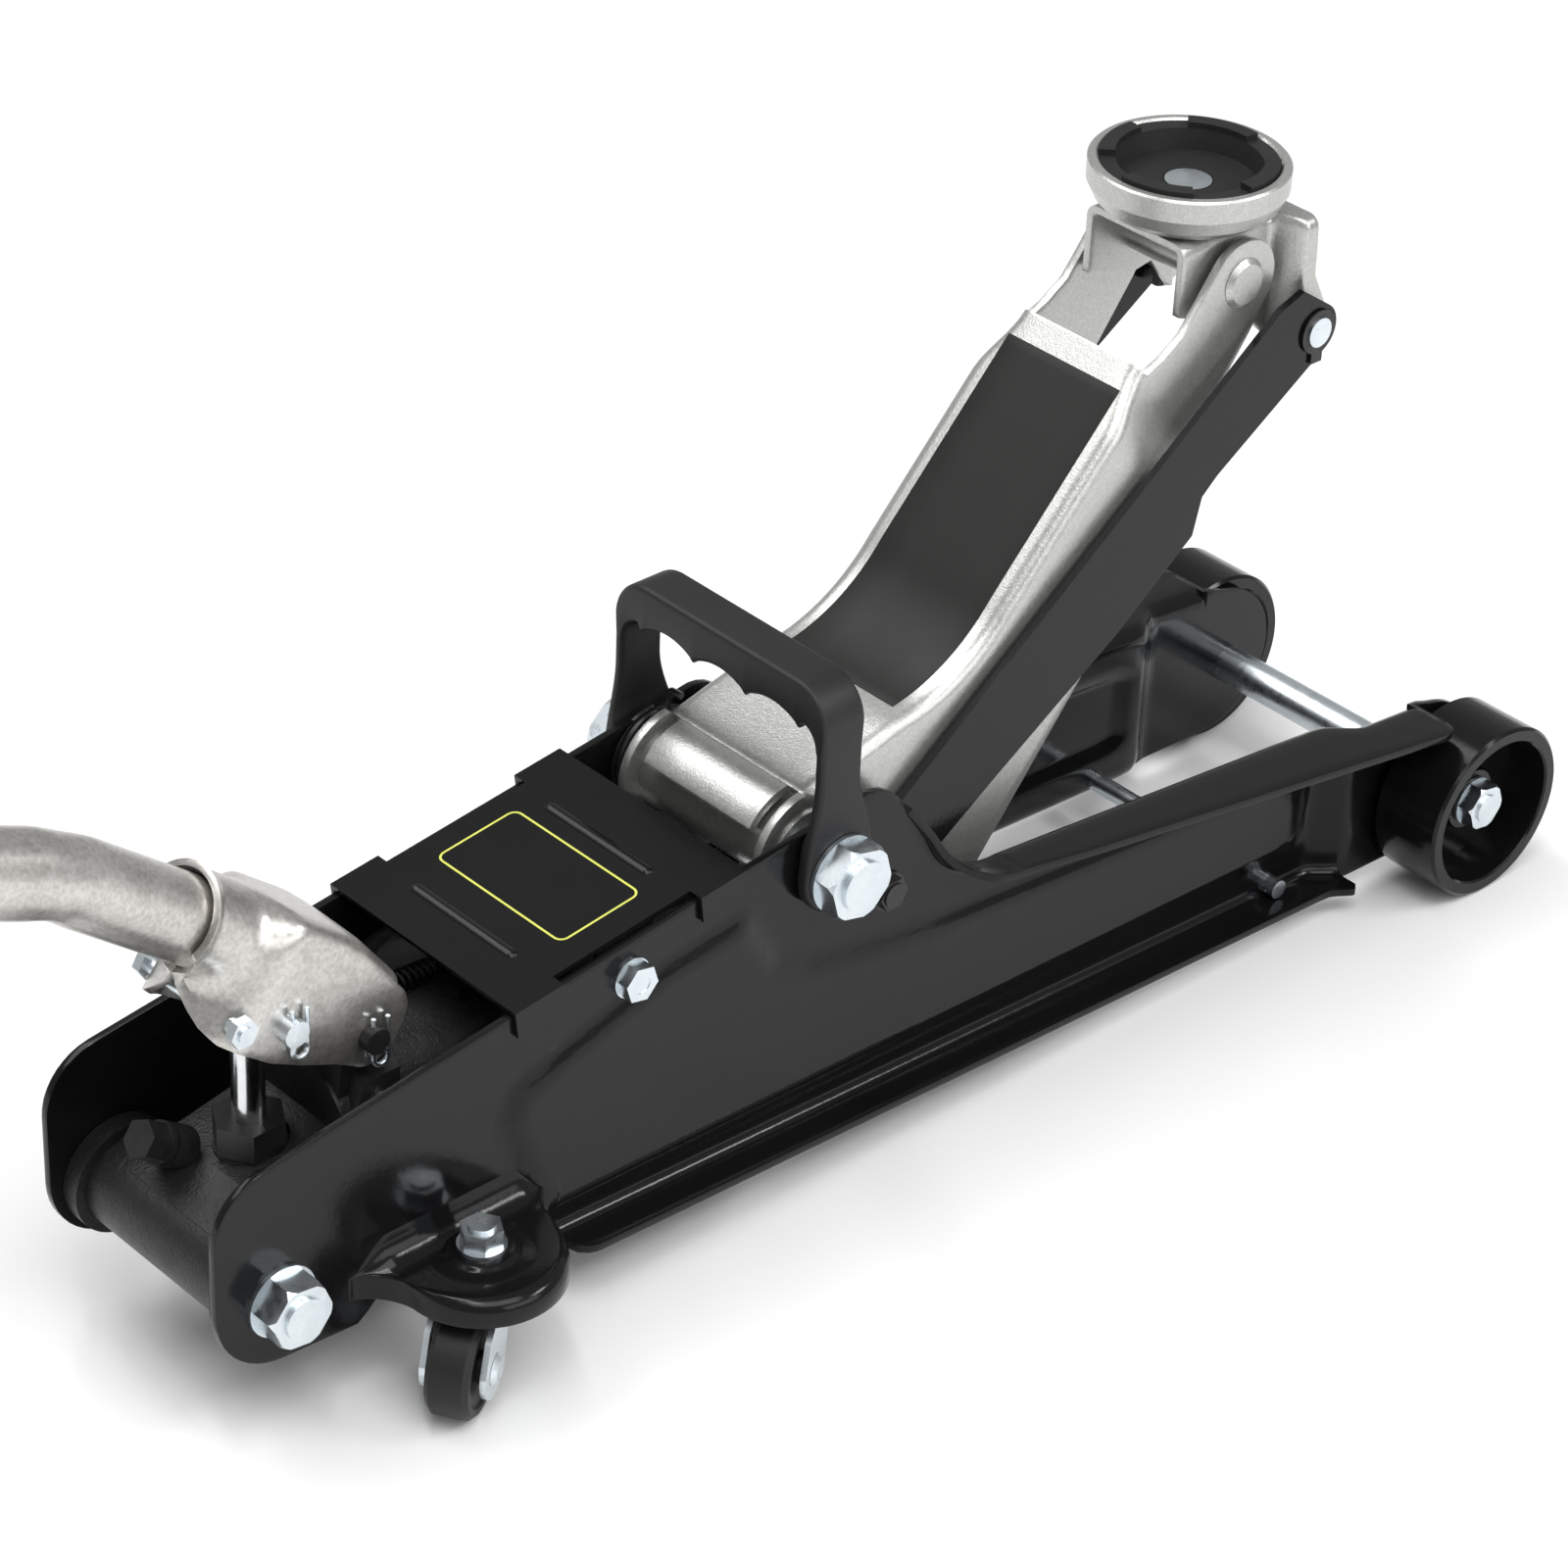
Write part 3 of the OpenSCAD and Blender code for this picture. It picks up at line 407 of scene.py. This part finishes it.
def ear_sections():
    """Rows of the caster's pressed shelf, from its rim to where it runs into the plate."""
    rim = [(-46 + 1.5 * i, 49.6 + 0.15 * i * i) for i in range(5)]
    rim += [(-36.5, 55), (-34, 58.5), (-32, 62.5)]
    rim += [(-EAR_R * math.cos(math.radians(a)), EAR_Y + EAR_R * math.sin(math.radians(a)))
            for a in range(0, 181, 6)]
    rim += [(-x, y) for x, y in reversed(rim[:8])]
    rows = []
    for i, (x, y) in enumerate(rim):
        side = i / (len(rim) - 1)
        root = -47 + 94 * ease(side) * 0.5 + 47 * side
        run = math.hypot(x - root, y - ROOT_Y)
        roll, fillet = min(6.0, run * 0.42), min(12.0, run * 0.5)
        crown = 53.6
        row = [(x, y, 43.5), (x, y, 43.5 + (crown - roll - 43.5) * 0.5)]
        for a in range(0, 91, 15):
            row.append((roll * (1 - math.cos(math.radians(a))), None,
                        crown - roll * (1 - math.sin(math.radians(a)))))
        for k in (1, 2, 3):
            row.append((roll + (run - roll - fillet) * k / 4, None, crown))
        for a in range(0, 91, 15):
            row.append((run - fillet + fillet * math.sin(math.radians(a)), None,
                        crown + fillet * (1 - math.cos(math.radians(a)))))
        placed = []
        for point in row:
            if point[1] is None:
                share = point[0] / max(run, 1e-6)
                placed.append((EAR_X + x + (root - x) * share, y + (ROOT_Y - y) * share, point[2]))
            else:
                placed.append((EAR_X + point[0], point[1], point[2]))
        rows.append(placed)
    return rows


for hand, name in ((-1, "side_plate_right"), (1, "side_plate_left")):
    form = bmesh.new()
    for rows in ([plate_column(x) for x in reversed(stations)], ear_sections()):
        loft(form, [[at(x, hand * y, z) for x, y, z in row] for row in rows])
    if hand < 0:
        bmesh.ops.reverse_faces(form, faces=form.faces)
    plate = put(name + "_pressing", "chassis", enamel, to_mesh(form, name), name)
    sheet_wall(plate, PLATE_T, 0.6, even=False)
    # a raised seat under the caster's nut
    form = bmesh.new()
    turned(form, Matrix.Translation(at(EAR_X, hand * EAR_Y, 0)),
           [(0, 55.5), (11.5, 55.5), (12.6, 55.2), (13.4, 54.5), (14.4, 54.2), (18, 54.0), (20.5, 53.4)])
    seat = put(name + "_seat", "chassis", enamel, to_mesh(form, name + "_seat"))
    settle(seat, 60)

# ---- Cover
# A folded sheet over the power unit, held by a bolt on each side and enamelled.
# It has two pressed ribs and a printed yellow-green frame round a bare middle.

refinish(enamel, "cover_plate")
cover_place = Matrix.Translation(at(-430, 0, 139.7)) @ Matrix.Rotation(math.radians(-7.75), 4, "Y")


def rounded_frame(half_x, half_y, r):
    """The outline of a rectangle with round corners."""
    corners = ((half_x - r, half_y - r, 0), (r - half_x, half_y - r, 90), (r - half_x, r - half_y, 180),
               (half_x - r, r - half_y, 270))
    return [point for x, y, a in corners for point in bow(x, y, r, a, a + 90, 6)]


ink, inputs, start = new_finish("yellow_ink")
link(start.grain(300.0, 3.0).colour((0.50, 0.52, 0.07), (0.62, 0.64, 0.12)), inputs["Base Color"])
link(0.40 + 0.1 * start.grain(120.0), inputs["Roughness"])
form = bmesh.new()
loft(form, [[cover_place @ Vector(((x - 1.5) * MM, (y + 1) * MM, 2.3 * MM))
             for x, y in rounded_frame(19 - inset, 35 - inset, 4 - inset)] for inset in (0, 0.9)], closed=True)
bmesh.ops.recalc_face_normals(form, faces=form.faces)
put("cover_print", "chassis", ink, to_mesh(form, "cover_print"))

# ---- Zinc-plated fixings
# Steel rods, nuts, washers, bolts and caster forks, barrel-plated in bright zinc
# with a cool, faintly clouded shine.

zinc, inputs, start = new_finish("zinc_plate")
cloud = start.grain(70.0, 5.0, 0.62)
link(cloud.colour((0.56, 0.63, 0.68), (0.80, 0.84, 0.86)), inputs["Base Color"])
link(0.16 + 0.30 * start.grain(240.0, 3.0), inputs["Roughness"])
link(start.bump(start.grain(900.0, 2.0), 0.00006, 0.4), inputs["Normal"])
inputs["Metallic"].default_value = 1.0
refinish(zinc, "cover_bolts", "front_axle", "front_axle_nuts", "cross_rod", "tie_rod", "tie_rod_nuts",
         "pivot_shaft", "pivot_nuts", "spring_pegs", "saddle_rivet", "link_top_pins", "plunger_pin",
         "plunger_cotter", "pivot_cotter", "clamp_bolt", "handle_button", "caster_bolts",
         "caster_axle_right", "caster_axle_left", "caster_fork_right", "caster_fork_left")

# ---- Lift arm
# A channel folded from 3.5 mm sheet, welded to its cross tube and sprayed silver
# with a fine metallic grain. A flap of its back is bent down over the tube.

silver, inputs, start = new_finish("silver_paint")
flake = start.cells(1300.0)
mottle = start.grain(420.0, 4.0, 0.65)
link((0.5 * mottle + 0.5 * flake).colour((0.32, 0.32, 0.31), (0.62, 0.62, 0.60)), inputs["Base Color"])
link(0.24 + 0.16 * mottle, inputs["Roughness"])
link(start.bump(flake * 0.7 + mottle, 0.00012, 0.5), inputs["Normal"])
inputs["Metallic"].default_value = 0.8
refinish(silver, "arm_cross_tube", "saddle_cup", "saddle_pin")

PIVOT_X, PIVOT_Z = -337, 133
ARM_ANGLE, ARM_LEN = 36, 270.5
arm_place = Matrix.Translation(at(PIVOT_X, 0, PIVOT_Z)) @ Matrix.Rotation(math.radians(-ARM_ANGLE), 4, "Y")
LUG_X, LUG_Z = -14.2, -47.94
ACROSS = (29, 15, 0, -15, -29)
arm_back = [(12.6, 21.1), (43, 9.2)] + bow(96, 68, 75, 238, 286, 12) + [(217, 16)]
cheek_top = ([(-29.1, -46), (-24.5, -4)] + bow(0, 0, 24.4, 176, 58, 16) + arm_back
             + [(217.1, 10.5), (226, 8.6), (238, 8), (252, 12)] + bow(ARM_LEN, 0, 17, 110, 2, 12))
cheek_low = (bow(LUG_X, LUG_Z, 15, 176, 300, 12) + [(10, -88), (14, -89.5), (34, -91), (40, -90), (123, -67)]
             + [(262, -22)] + bow(ARM_LEN, 0, 17, 282, 356, 10))


def arm_half(x):
    """Half the arm's width, less beside the saddle."""
    return 38.5 - 6.5 * ease((x - 188) / 28)


def channel(form, place, steps, half, low, top, roofed, fold):
    """Adds a folded channel: a cheek on each side and, where roofed, its rounded back."""
    rows = []
    for x in steps:
        crown = top(x) - (fold if roofed(x) else 0)
        points = [(half(x), low(x) + (crown - low(x)) * i / 14) for i in range(15)]
        points += [(half(x) - fold * (1 - math.cos(math.radians(a))),
                    crown + fold * math.sin(math.radians(a)))
                   for a in range(15, 91, 15)]
        points += [(points[-1][0] * (1 - i / 4), points[-1][1]) for i in (1, 2, 3)]
        whole = [(x, y, z) for y, z in points] + [(x, 0, points[-1][1])]
        whole += [(x, -y, z) for y, z in reversed(points)]
        rows.append([place @ (Vector(point) * MM) for point in whole])
    for (x, low_row), (next_x, high_row) in zip(zip(steps, rows), zip(steps[1:], rows[1:])):
        if roofed(x) and roofed(next_x):
            loft(form, [low_row, high_row])
        else:
            loft(form, [low_row[:15], high_row[:15]])
            loft(form, [low_row[-15:], high_row[-15:]])


form = bmesh.new()
arm_steps = sorted({-29.1, -28.9, -28, -26.5, -25, -24.6, -24.3, -23.5, -22, -20, -17, -14, -10, -6, -2, 3, 7, 10,
                    12.5, 12.6, 15, 18, 22, 27, 32, 38, 217, 217.2, 221, 226, 232, 238, 244, 249, 254, 258}
                   | {44 + 5 * i for i in range(29)} | {189 + 3 * i for i in range(10)}
                   | {round(ARM_LEN + 17 * math.sin(math.radians(a)), 3) for a in range(-40, 90, 8)})
channel(form, arm_place, arm_steps, arm_half, lambda x: between(cheek_low, x),
        lambda x: between(cheek_top, x), lambda x: 12.55 < x <= 217, 6.5)
loft(form, [[arm_place @ (Vector((x, y, z)) * MM) for y in ACROSS] for x, z in bow(0, 0, 24.2, 112, 58, 9)])
arm = put("arm_channel", "lift_arm", silver, to_mesh(form, "arm_channel"), "lift_arm")
sheet_wall(arm, 3.5, 0.7)

# ---- Arm panel
# A bare dark film with a satin face. It is stuck along the arm's back and follows
# its hollow.

film_black, inputs, start = new_finish("panel_film")
scuff = start.grain(55.0, 5.0, 0.65)
link(scuff.colour((0.007, 0.007, 0.0065), (0.013, 0.013, 0.012)), inputs["Base Color"])
link(0.36 + 0.2 * scuff, inputs["Roughness"])
inputs["Specular IOR Level"].default_value = 0.25
link(start.bump(start.grain(500.0), 0.00006, 0.4), inputs["Normal"])
form = bmesh.new()
loft(form, [[arm_place @ Vector((x * MM, y * MM, (between(arm_back, x) + 0.45) * MM))
             for y in ACROSS] for x in [62 + 4 * i for i in range(37)]])
arm_film = put("arm_film", "lift_arm", film_black, to_mesh(form, "arm_film"), "arm_panel")
sheet_wall(arm_film, 0.5, 0.1, 60)

# ---- Saddle bracket
# A small channel folded from 3 mm sheet, its ears flared out to the links. It
# turns on the saddle pin and carries the cup.

saddle_place = Matrix.Translation(at(PIVOT_X + ARM_LEN * math.cos(math.radians(ARM_ANGLE)), 0,
                                     PIVOT_Z + ARM_LEN * math.sin(math.radians(ARM_ANGLE))))
bracket_low = ([(-27, -9), (-14, -14), (-8, -14.5), (0, -16), (8, -14.5), (22.5, -32.5)]
               + bow(31.5, -25.5, 12, 235, 359, 12))
bracket_high = [(33, 19.6), (34, -5), (40.7, -17.8), (43.5, -25.2)]
form = bmesh.new()
bracket_steps = sorted({-27, -14, -8, 8, 33, 33.4, 34, 41, 42.5, 43.3, 43.49}
                       | {-24 + 3 * i for i in range(22)}
                       | {20 + i for i in range(12)})
channel(form, saddle_place, bracket_steps, lambda x: 25 + 13 * ease((x - 20) / 8),
        lambda x: between(bracket_low, x), lambda x: 19.6 if x <= 33 else between(bracket_high, x),
        lambda x: x <= 33, 5)
bracket = put("bracket_channel", "saddle_bracket", silver, to_mesh(form, "bracket_channel"), "saddle_bracket")
sheet_wall(bracket, 3.0, 0.7)

# ---- Handle socket
# Thick sheet rolled round the tube at its mouth and opened into two flat cheeks
# over the pump. It hangs on its pivot pin and a bolt clamps its ears.

steel, inputs, start = new_finish("lacquered_steel")
patch = start.grain(38.0, 6.0, 0.7)
scale = start.grain(520.0, 3.0, 0.6)
mill = (0.45 * patch + 0.55 * scale).step(0.3, 0.7)
link(mill.colour((0.40, 0.385, 0.36), (0.64, 0.625, 0.60)), inputs["Base Color"])
link(0.20 + 0.22 * patch, inputs["Roughness"])
link(start.bump(scale + 0.8 * patch, 0.00014, 0.45), inputs["Normal"])
inputs["Metallic"].default_value = 0.92

mouth = Vector((-574, 0, 181))
socket_place = Matrix.Translation(at(*mouth)) @ Matrix(
    ((0.788, 0, 0.6157, 0), (0, 1, 0, 0), (-0.6157, 0, 0.788, 0), (0, 0, 0, 1)))
socket_low = [(-20, -8), (-14, -12), (-8, -20), (-1, -30), (5, -32.7), (20, -32.4), (30, -32.2), (45, -29.5),
              (60, -25.6), (69, -24.3)]
socket_roof = [(-20, 18.3), (38, 18.0), (50, 16.4), (60, 13.6), (69, 11.2), (75, 9.0), (79, 5.5), (80.6, 0)]
socket_base = [(-20, 0), (73, 0), (79, -4), (80.6, -8)]


def socket_row(s):
    """The socket's section at a distance ahead of its mouth, from one cheek over to the other."""
    flare = 1.4 * ease((-16 - s) / 4)
    width = 18.1 + 5.9 * ease((s + 2) / 18) + flare
    low, base, roof = (between(line, s) for line in (socket_low, socket_base, socket_roof))
    if s > 69:
        low = -12.35 - math.sqrt(max(144 - (s - 68.7) ** 2, 0))
    round_in = ease((4 - s) / 14)
    square = 1 - 0.62 * ease((s - 2) / 14)
    points = []
    for i in range(11):
        n = low + (base - low) * i / 11
        points.append((width * (1 - round_in + round_in * math.sqrt(max(1 - (n / width) ** 2, 0))), n))
    points += [(width * abs(math.cos(math.radians(a))) ** square,
                base + (roof + flare - base) * math.sin(math.radians(a)) ** square) for a in range(0, 85, 6)]
    points.append((0.0, roof + flare))
    whole = points + [(-y, n) for y, n in reversed(points[:-1])]
    return [socket_place @ Vector((s * MM, y * MM, n * MM)) for y, n in whole]


form = bmesh.new()
loft(form, [socket_row(s) for s in [-20, -19, -18, -17, -16, -14] + [-12 + 3 * i for i in range(28)]])
tabs = [socket_row(s) for s in (69, 71, 73, 75, 77, 78.5, 79.5, 80.2, 80.6)]
loft(form, [row[:16] for row in tabs])
loft(form, [row[-16:] for row in tabs])
socket = put("socket_shell", "handle", steel, to_mesh(form, "socket_shell"), "handle_socket")
sheet_wall(socket, 2.6, 0.6, 45)

# ---- Lower handle tube
# A round tube bent cold near its foot, so that the bend is a little flattened. The
# upper tube slides into it.

TUBE_R, BORE_R, ROOT_ANGLE, TAIL_ANGLE = 15.5, 13.5, 38, 23
root = Vector((-0.788, 0, 0.6157))
tail = Vector((-math.cos(math.radians(TAIL_ANGLE)), 0, math.sin(math.radians(TAIL_ANGLE))))
elbow = mouth + 80 * root


def tube_ring(middle, angle, wide, high):
    """An oval section of the tube, square to it."""
    normal = Vector((math.sin(math.radians(angle)), 0, math.cos(math.radians(angle))))
    return [at(*(middle + wide * math.cos(t) * Vector((0, 1, 0)) + high * math.sin(t) * normal))
            for t in (2 * math.pi * i / 56 for i in range(56))]


run = [(mouth + (-8 + 5 * i) * root, ROOT_ANGLE) for i in range(15)]
for i in range(13):
    share = i / 12
    run.append(((1 - share) ** 2 * (elbow - 11.8 * root) + 2 * share * (1 - share) * elbow
                + share ** 2 * (elbow + 11.8 * tail), ROOT_ANGLE - (ROOT_ANGLE - TAIL_ANGLE) * share))
run += [(elbow + (16 + 6.7 * i) * tail, TAIL_ANGLE) for i in range(21)]
rings = []
for middle, angle in run:
    flat = 1 - ease(abs(angle - 30.5) / 9)
    rings.append(tube_ring(middle, angle, TUBE_R + 0.5 * flat, TUBE_R - 0.9 * flat))
rings += [tube_ring(run[-1][0] - back * tail, TAIL_ANGLE, BORE_R, BORE_R) for back in (0, 6)]
form = bmesh.new()
loft(form, rings, closed=True)
bmesh.ops.recalc_face_normals(form, faces=form.faces)
refinish(steel, "handle_upper_tube")
tube = put("lower_tube", "handle", steel, to_mesh(form, "lower_tube"), "handle_lower_tube")
settle(tube)

# ---- Ground steel
# The ram, its pin and the pump plunger are turned and ground bright, and stay
# slightly oily.

bright, inputs, start = new_finish("ground_steel")
lines = start.grain(500.0, 2.0, 0.5, (1.0, 0.05, 1.0))
link(lines.colour((0.62, 0.64, 0.65), (0.82, 0.83, 0.84)), inputs["Base Color"])
link(0.12 + 0.14 * lines, inputs["Roughness"])
inputs["Metallic"].default_value = 1.0
refinish(bright, "pump_plunger", "ram_rod", "ram_pin")

# ---- Power unit
# A sand-cast pump block and its drawn tube, painted black over the casting skin.
# The side plates are clamped to the block by the rear tie rod.

casting, inputs, start = new_finish("painted_casting")
skin = start.grain(260.0, 6.0, 0.7)
link(skin.colour((0.006, 0.006, 0.0065), (0.018, 0.0175, 0.017)), inputs["Base Color"])
inputs["Specular IOR Level"].default_value = 0.35
link(0.24 + 0.28 * start.grain(80.0, 4.0), inputs["Roughness"])
link(start.bump(skin + 0.6 * start.grain(900.0, 2.0), 0.0005, 0.7), inputs["Normal"])
refinish(casting, "pump_block", "reservoir_tube")

# ---- Black steel parts
# Turned and formed pieces in black oxide, a dark grey with a dull shine.

oxide, inputs, start = new_finish("black_oxide")
haze = start.grain(120.0, 4.0)
link(haze.colour((0.020, 0.020, 0.022), (0.055, 0.054, 0.053)), inputs["Base Color"])
link(0.22 + 0.26 * haze, inputs["Roughness"])
link(start.bump(start.grain(700.0, 2.0), 0.00008, 0.4), inputs["Normal"])
inputs["Metallic"].default_value = 0.7
refinish(oxide, "cylinder_gland", "filler_plug", "pump_gland", "link_pivot_pins", "socket_pivot_pin",
         "link_clips", "ram_fork", "release_valve")

# ---- Springs
# Close-wound pull springs from pegs on the power unit to the ram pin, and a coil
# on the pivot shaft with its leg over the arm's flap, all in oiled black wire.


def wire(name, points, radius, finish, body, *stands_for):
    """A round wire through points given in the model."""
    form = bmesh.new()
    rings = []
    side = Vector((0, 0, 1))
    for i, point in enumerate(points):
        ahead_way = (points[min(i + 1, len(points) - 1)] - points[max(i - 1, 0)]).normalized()
        side = (side - side.dot(ahead_way) * ahead_way).normalized()
        other = ahead_way.cross(side)
        rings.append([point + radius * MM * (math.cos(a) * side + math.sin(a) * other)
                      for a in (math.pi * k / 4 for k in range(8))])
    loft(form, rings, closed=True, cap=True)
    bmesh.ops.recalc_face_normals(form, faces=form.faces)
    piece = put(name, body, finish, to_mesh(form, name, 0.000005), *stands_for)
    settle(piece, 60)
    return piece


peg, pin = Vector((-523, 0, 101)), Vector((-320.3, 0, 85.9))
COIL_R, TURNS, TURN_STEPS = 4.4, 60, 22
reach = (pin - peg).length
along = (pin - peg).normalized()
sideways = Vector((0, 1, 0))
rise = along.cross(sideways) * -1


def around(middle, radius, first, step):
    """Most of a hook's eye, from an angle on and in steps of degrees."""
    return [middle + radius * (math.cos(a) * along + math.sin(a) * rise)
            for a in (math.radians(first + step * i) for i in range(17))]


for hand, name in ((-1, "right"), (1, "left")):
    base = Vector((0, hand * 29.3, 0))
    path = around(peg + base, 4, 40, 20)
    for i in range(TURNS * TURN_STEPS + 1):
        a = 2 * math.pi * i / TURN_STEPS
        path.append(peg + base + (13 + (reach - 28) * i / (TURNS * TURN_STEPS)) * along
                    + COIL_R * (math.cos(a) * rise + math.sin(a) * sideways))
    path += around(pin + base, 8, 180, -20)
    spring = wire("pull_spring_" + name, [at(*point) for point in path], 0.9, oxide, "chassis",
                  "return_spring_" + name)
    at(*(peg + base))
    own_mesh(spring)

coil = [at(PIVOT_X + 19.4 * math.sin(a), 41.6 + 3.1 * a / (2 * math.pi), PIVOT_Z + 19.4 * math.cos(a))
        for a in (2 * math.pi * i / 36 for i in range(73))]
leg = [at(-335, y, z) for y, z in ((34, 163), (39.5, 162.6), (41.2, 161), (41.6, 158), (41.6, 154))]
hook = wire("pivot_coil", leg + coil, 1.4, oxide, None, "pivot_spring")
at(-335, 41, 153.5)
at(-335, 41, 161)
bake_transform(hook)

# ---- Levelling links
# Flat bars blanked from 3 mm plate, with black enamel like the chassis. They keep
# the saddle bracket level.

refinish(enamel, "link_right", "link_left")

# ---- Front rollers
# Turned steel rollers with a deep recessed web, enamelled black. They run free on
# the front axle.

refinish(enamel, "front_roller_right", "front_roller_left")

# ---- Carry handle and caster wheels
# Moulded black plastic with a fine spark-eroded texture. The grip is scalloped
# underneath, and the eyes of its legs turn on the pivot shaft.

plastic, inputs, start = new_finish("moulded_plastic")
texture = start.grain(1300.0, 3.0, 0.6)
link(start.grain(30.0).colour((0.008, 0.008, 0.009), (0.014, 0.014, 0.015)), inputs["Base Color"])
inputs["Specular IOR Level"].default_value = 0.32
link(0.40 + 0.16 * texture, inputs["Roughness"])
link(start.bump(texture, 0.00010, 0.5), inputs["Normal"])
refinish(plastic, "caster_wheel_right", "caster_wheel_left")
EYE_R, EYE_TOP, EDGE_R, LEG_OUT, GRIP_TOP = 17, 137, 2.2, 56.8, 211


def leg_half(z):
    """Half the leg's width, from the round eye up to the grip."""
    if z < EYE_TOP:
        return max(math.sqrt(max(EYE_R ** 2 - (z - PIVOT_Z) ** 2, 0)), EDGE_R)
    return 10 + 6.5 * (1 - ease((z - EYE_TOP) / 36))


outer, inner = [], []
for i in range(26):
    z = 116.1 + 68.9 * i / 25
    outer.append((LEG_OUT, z))
    inner.append((50.4 + 1.7 * ease((z - 146) / 10), z))
for i in range(15):
    a = math.radians(6 * i + 3)
    outer.append((40.8 + 16 * math.cos(a), 195 + 16 * math.sin(a)))
    inner.append((44.1 + 8 * math.cos(a), 185 + 9.5 * math.sin(a)))
for i in range(61):
    y = 40.5 - 40.5 * i / 30
    outer.append((y, GRIP_TOP))
    inner.append((y * 1.05, 191.6 + 4.6 * abs(math.sin(math.pi * (y + 40.5) / 27)) ** 0.7))
outer += [(-y, z) for y, z in reversed(outer[:41])]
inner += [(-y, z) for y, z in reversed(inner[:41])]
form = bmesh.new()
rings = []
for (y0, z0), (y1, z1) in zip(outer, inner):
    out, depth = Vector((0, y0 - y1, z0 - z1)), math.hypot(y0 - y1, z0 - z1)
    out.normalize()
    in_leg = abs(y0) > 56
    half = leg_half(z1 if in_leg else 190)
    lean = 1 - 2 * ease((z1 - EYE_TOP) / 36) if in_leg else -1
    middle = Vector((PIVOT_X - 1 + lean, (y0 + y1) / 2, (z0 + z1) / 2))
    r = min(EDGE_R, depth * 0.45, half)
    ring = []
    for side_x, side_out, first in ((1, 1, 0), (-1, 1, 90), (-1, -1, 180), (1, -1, 270)):
        for t in (0, 22.5, 45, 67.5, 90):
            a = math.radians(first + t)
            ring.append(at(*(middle + Vector((side_x * (half - r) + r * math.cos(a), 0, 0))
                             + out * (side_out * (depth / 2 - r) + r * math.sin(a)))))
    rings.append(ring)
loft(form, rings, closed=True, cap=True)
bmesh.ops.recalc_face_normals(form, faces=form.faces)
settle(put("carry_grip", "carry_handle", plastic, to_mesh(form, "carry_grip"), "carry_handle"), 50)

# ---- Grip and saddle insert
# Moulded black rubber, dull, with a faint bloom. The grip is pushed onto the tube
# and the insert sits in the cup.

rubber, inputs, start = new_finish("black_rubber")
bloom = start.grain(40.0, 5.0, 0.6)
link(bloom.colour((0.006, 0.006, 0.0065), (0.016, 0.016, 0.016)), inputs["Base Color"])
inputs["Specular IOR Level"].default_value = 0.3
link(0.50 + 0.2 * bloom, inputs["Roughness"])
link(start.bump(start.grain(900.0, 3.0), 0.00012, 0.5), inputs["Normal"])
refinish(rubber, "handle_grip", "saddle_insert")
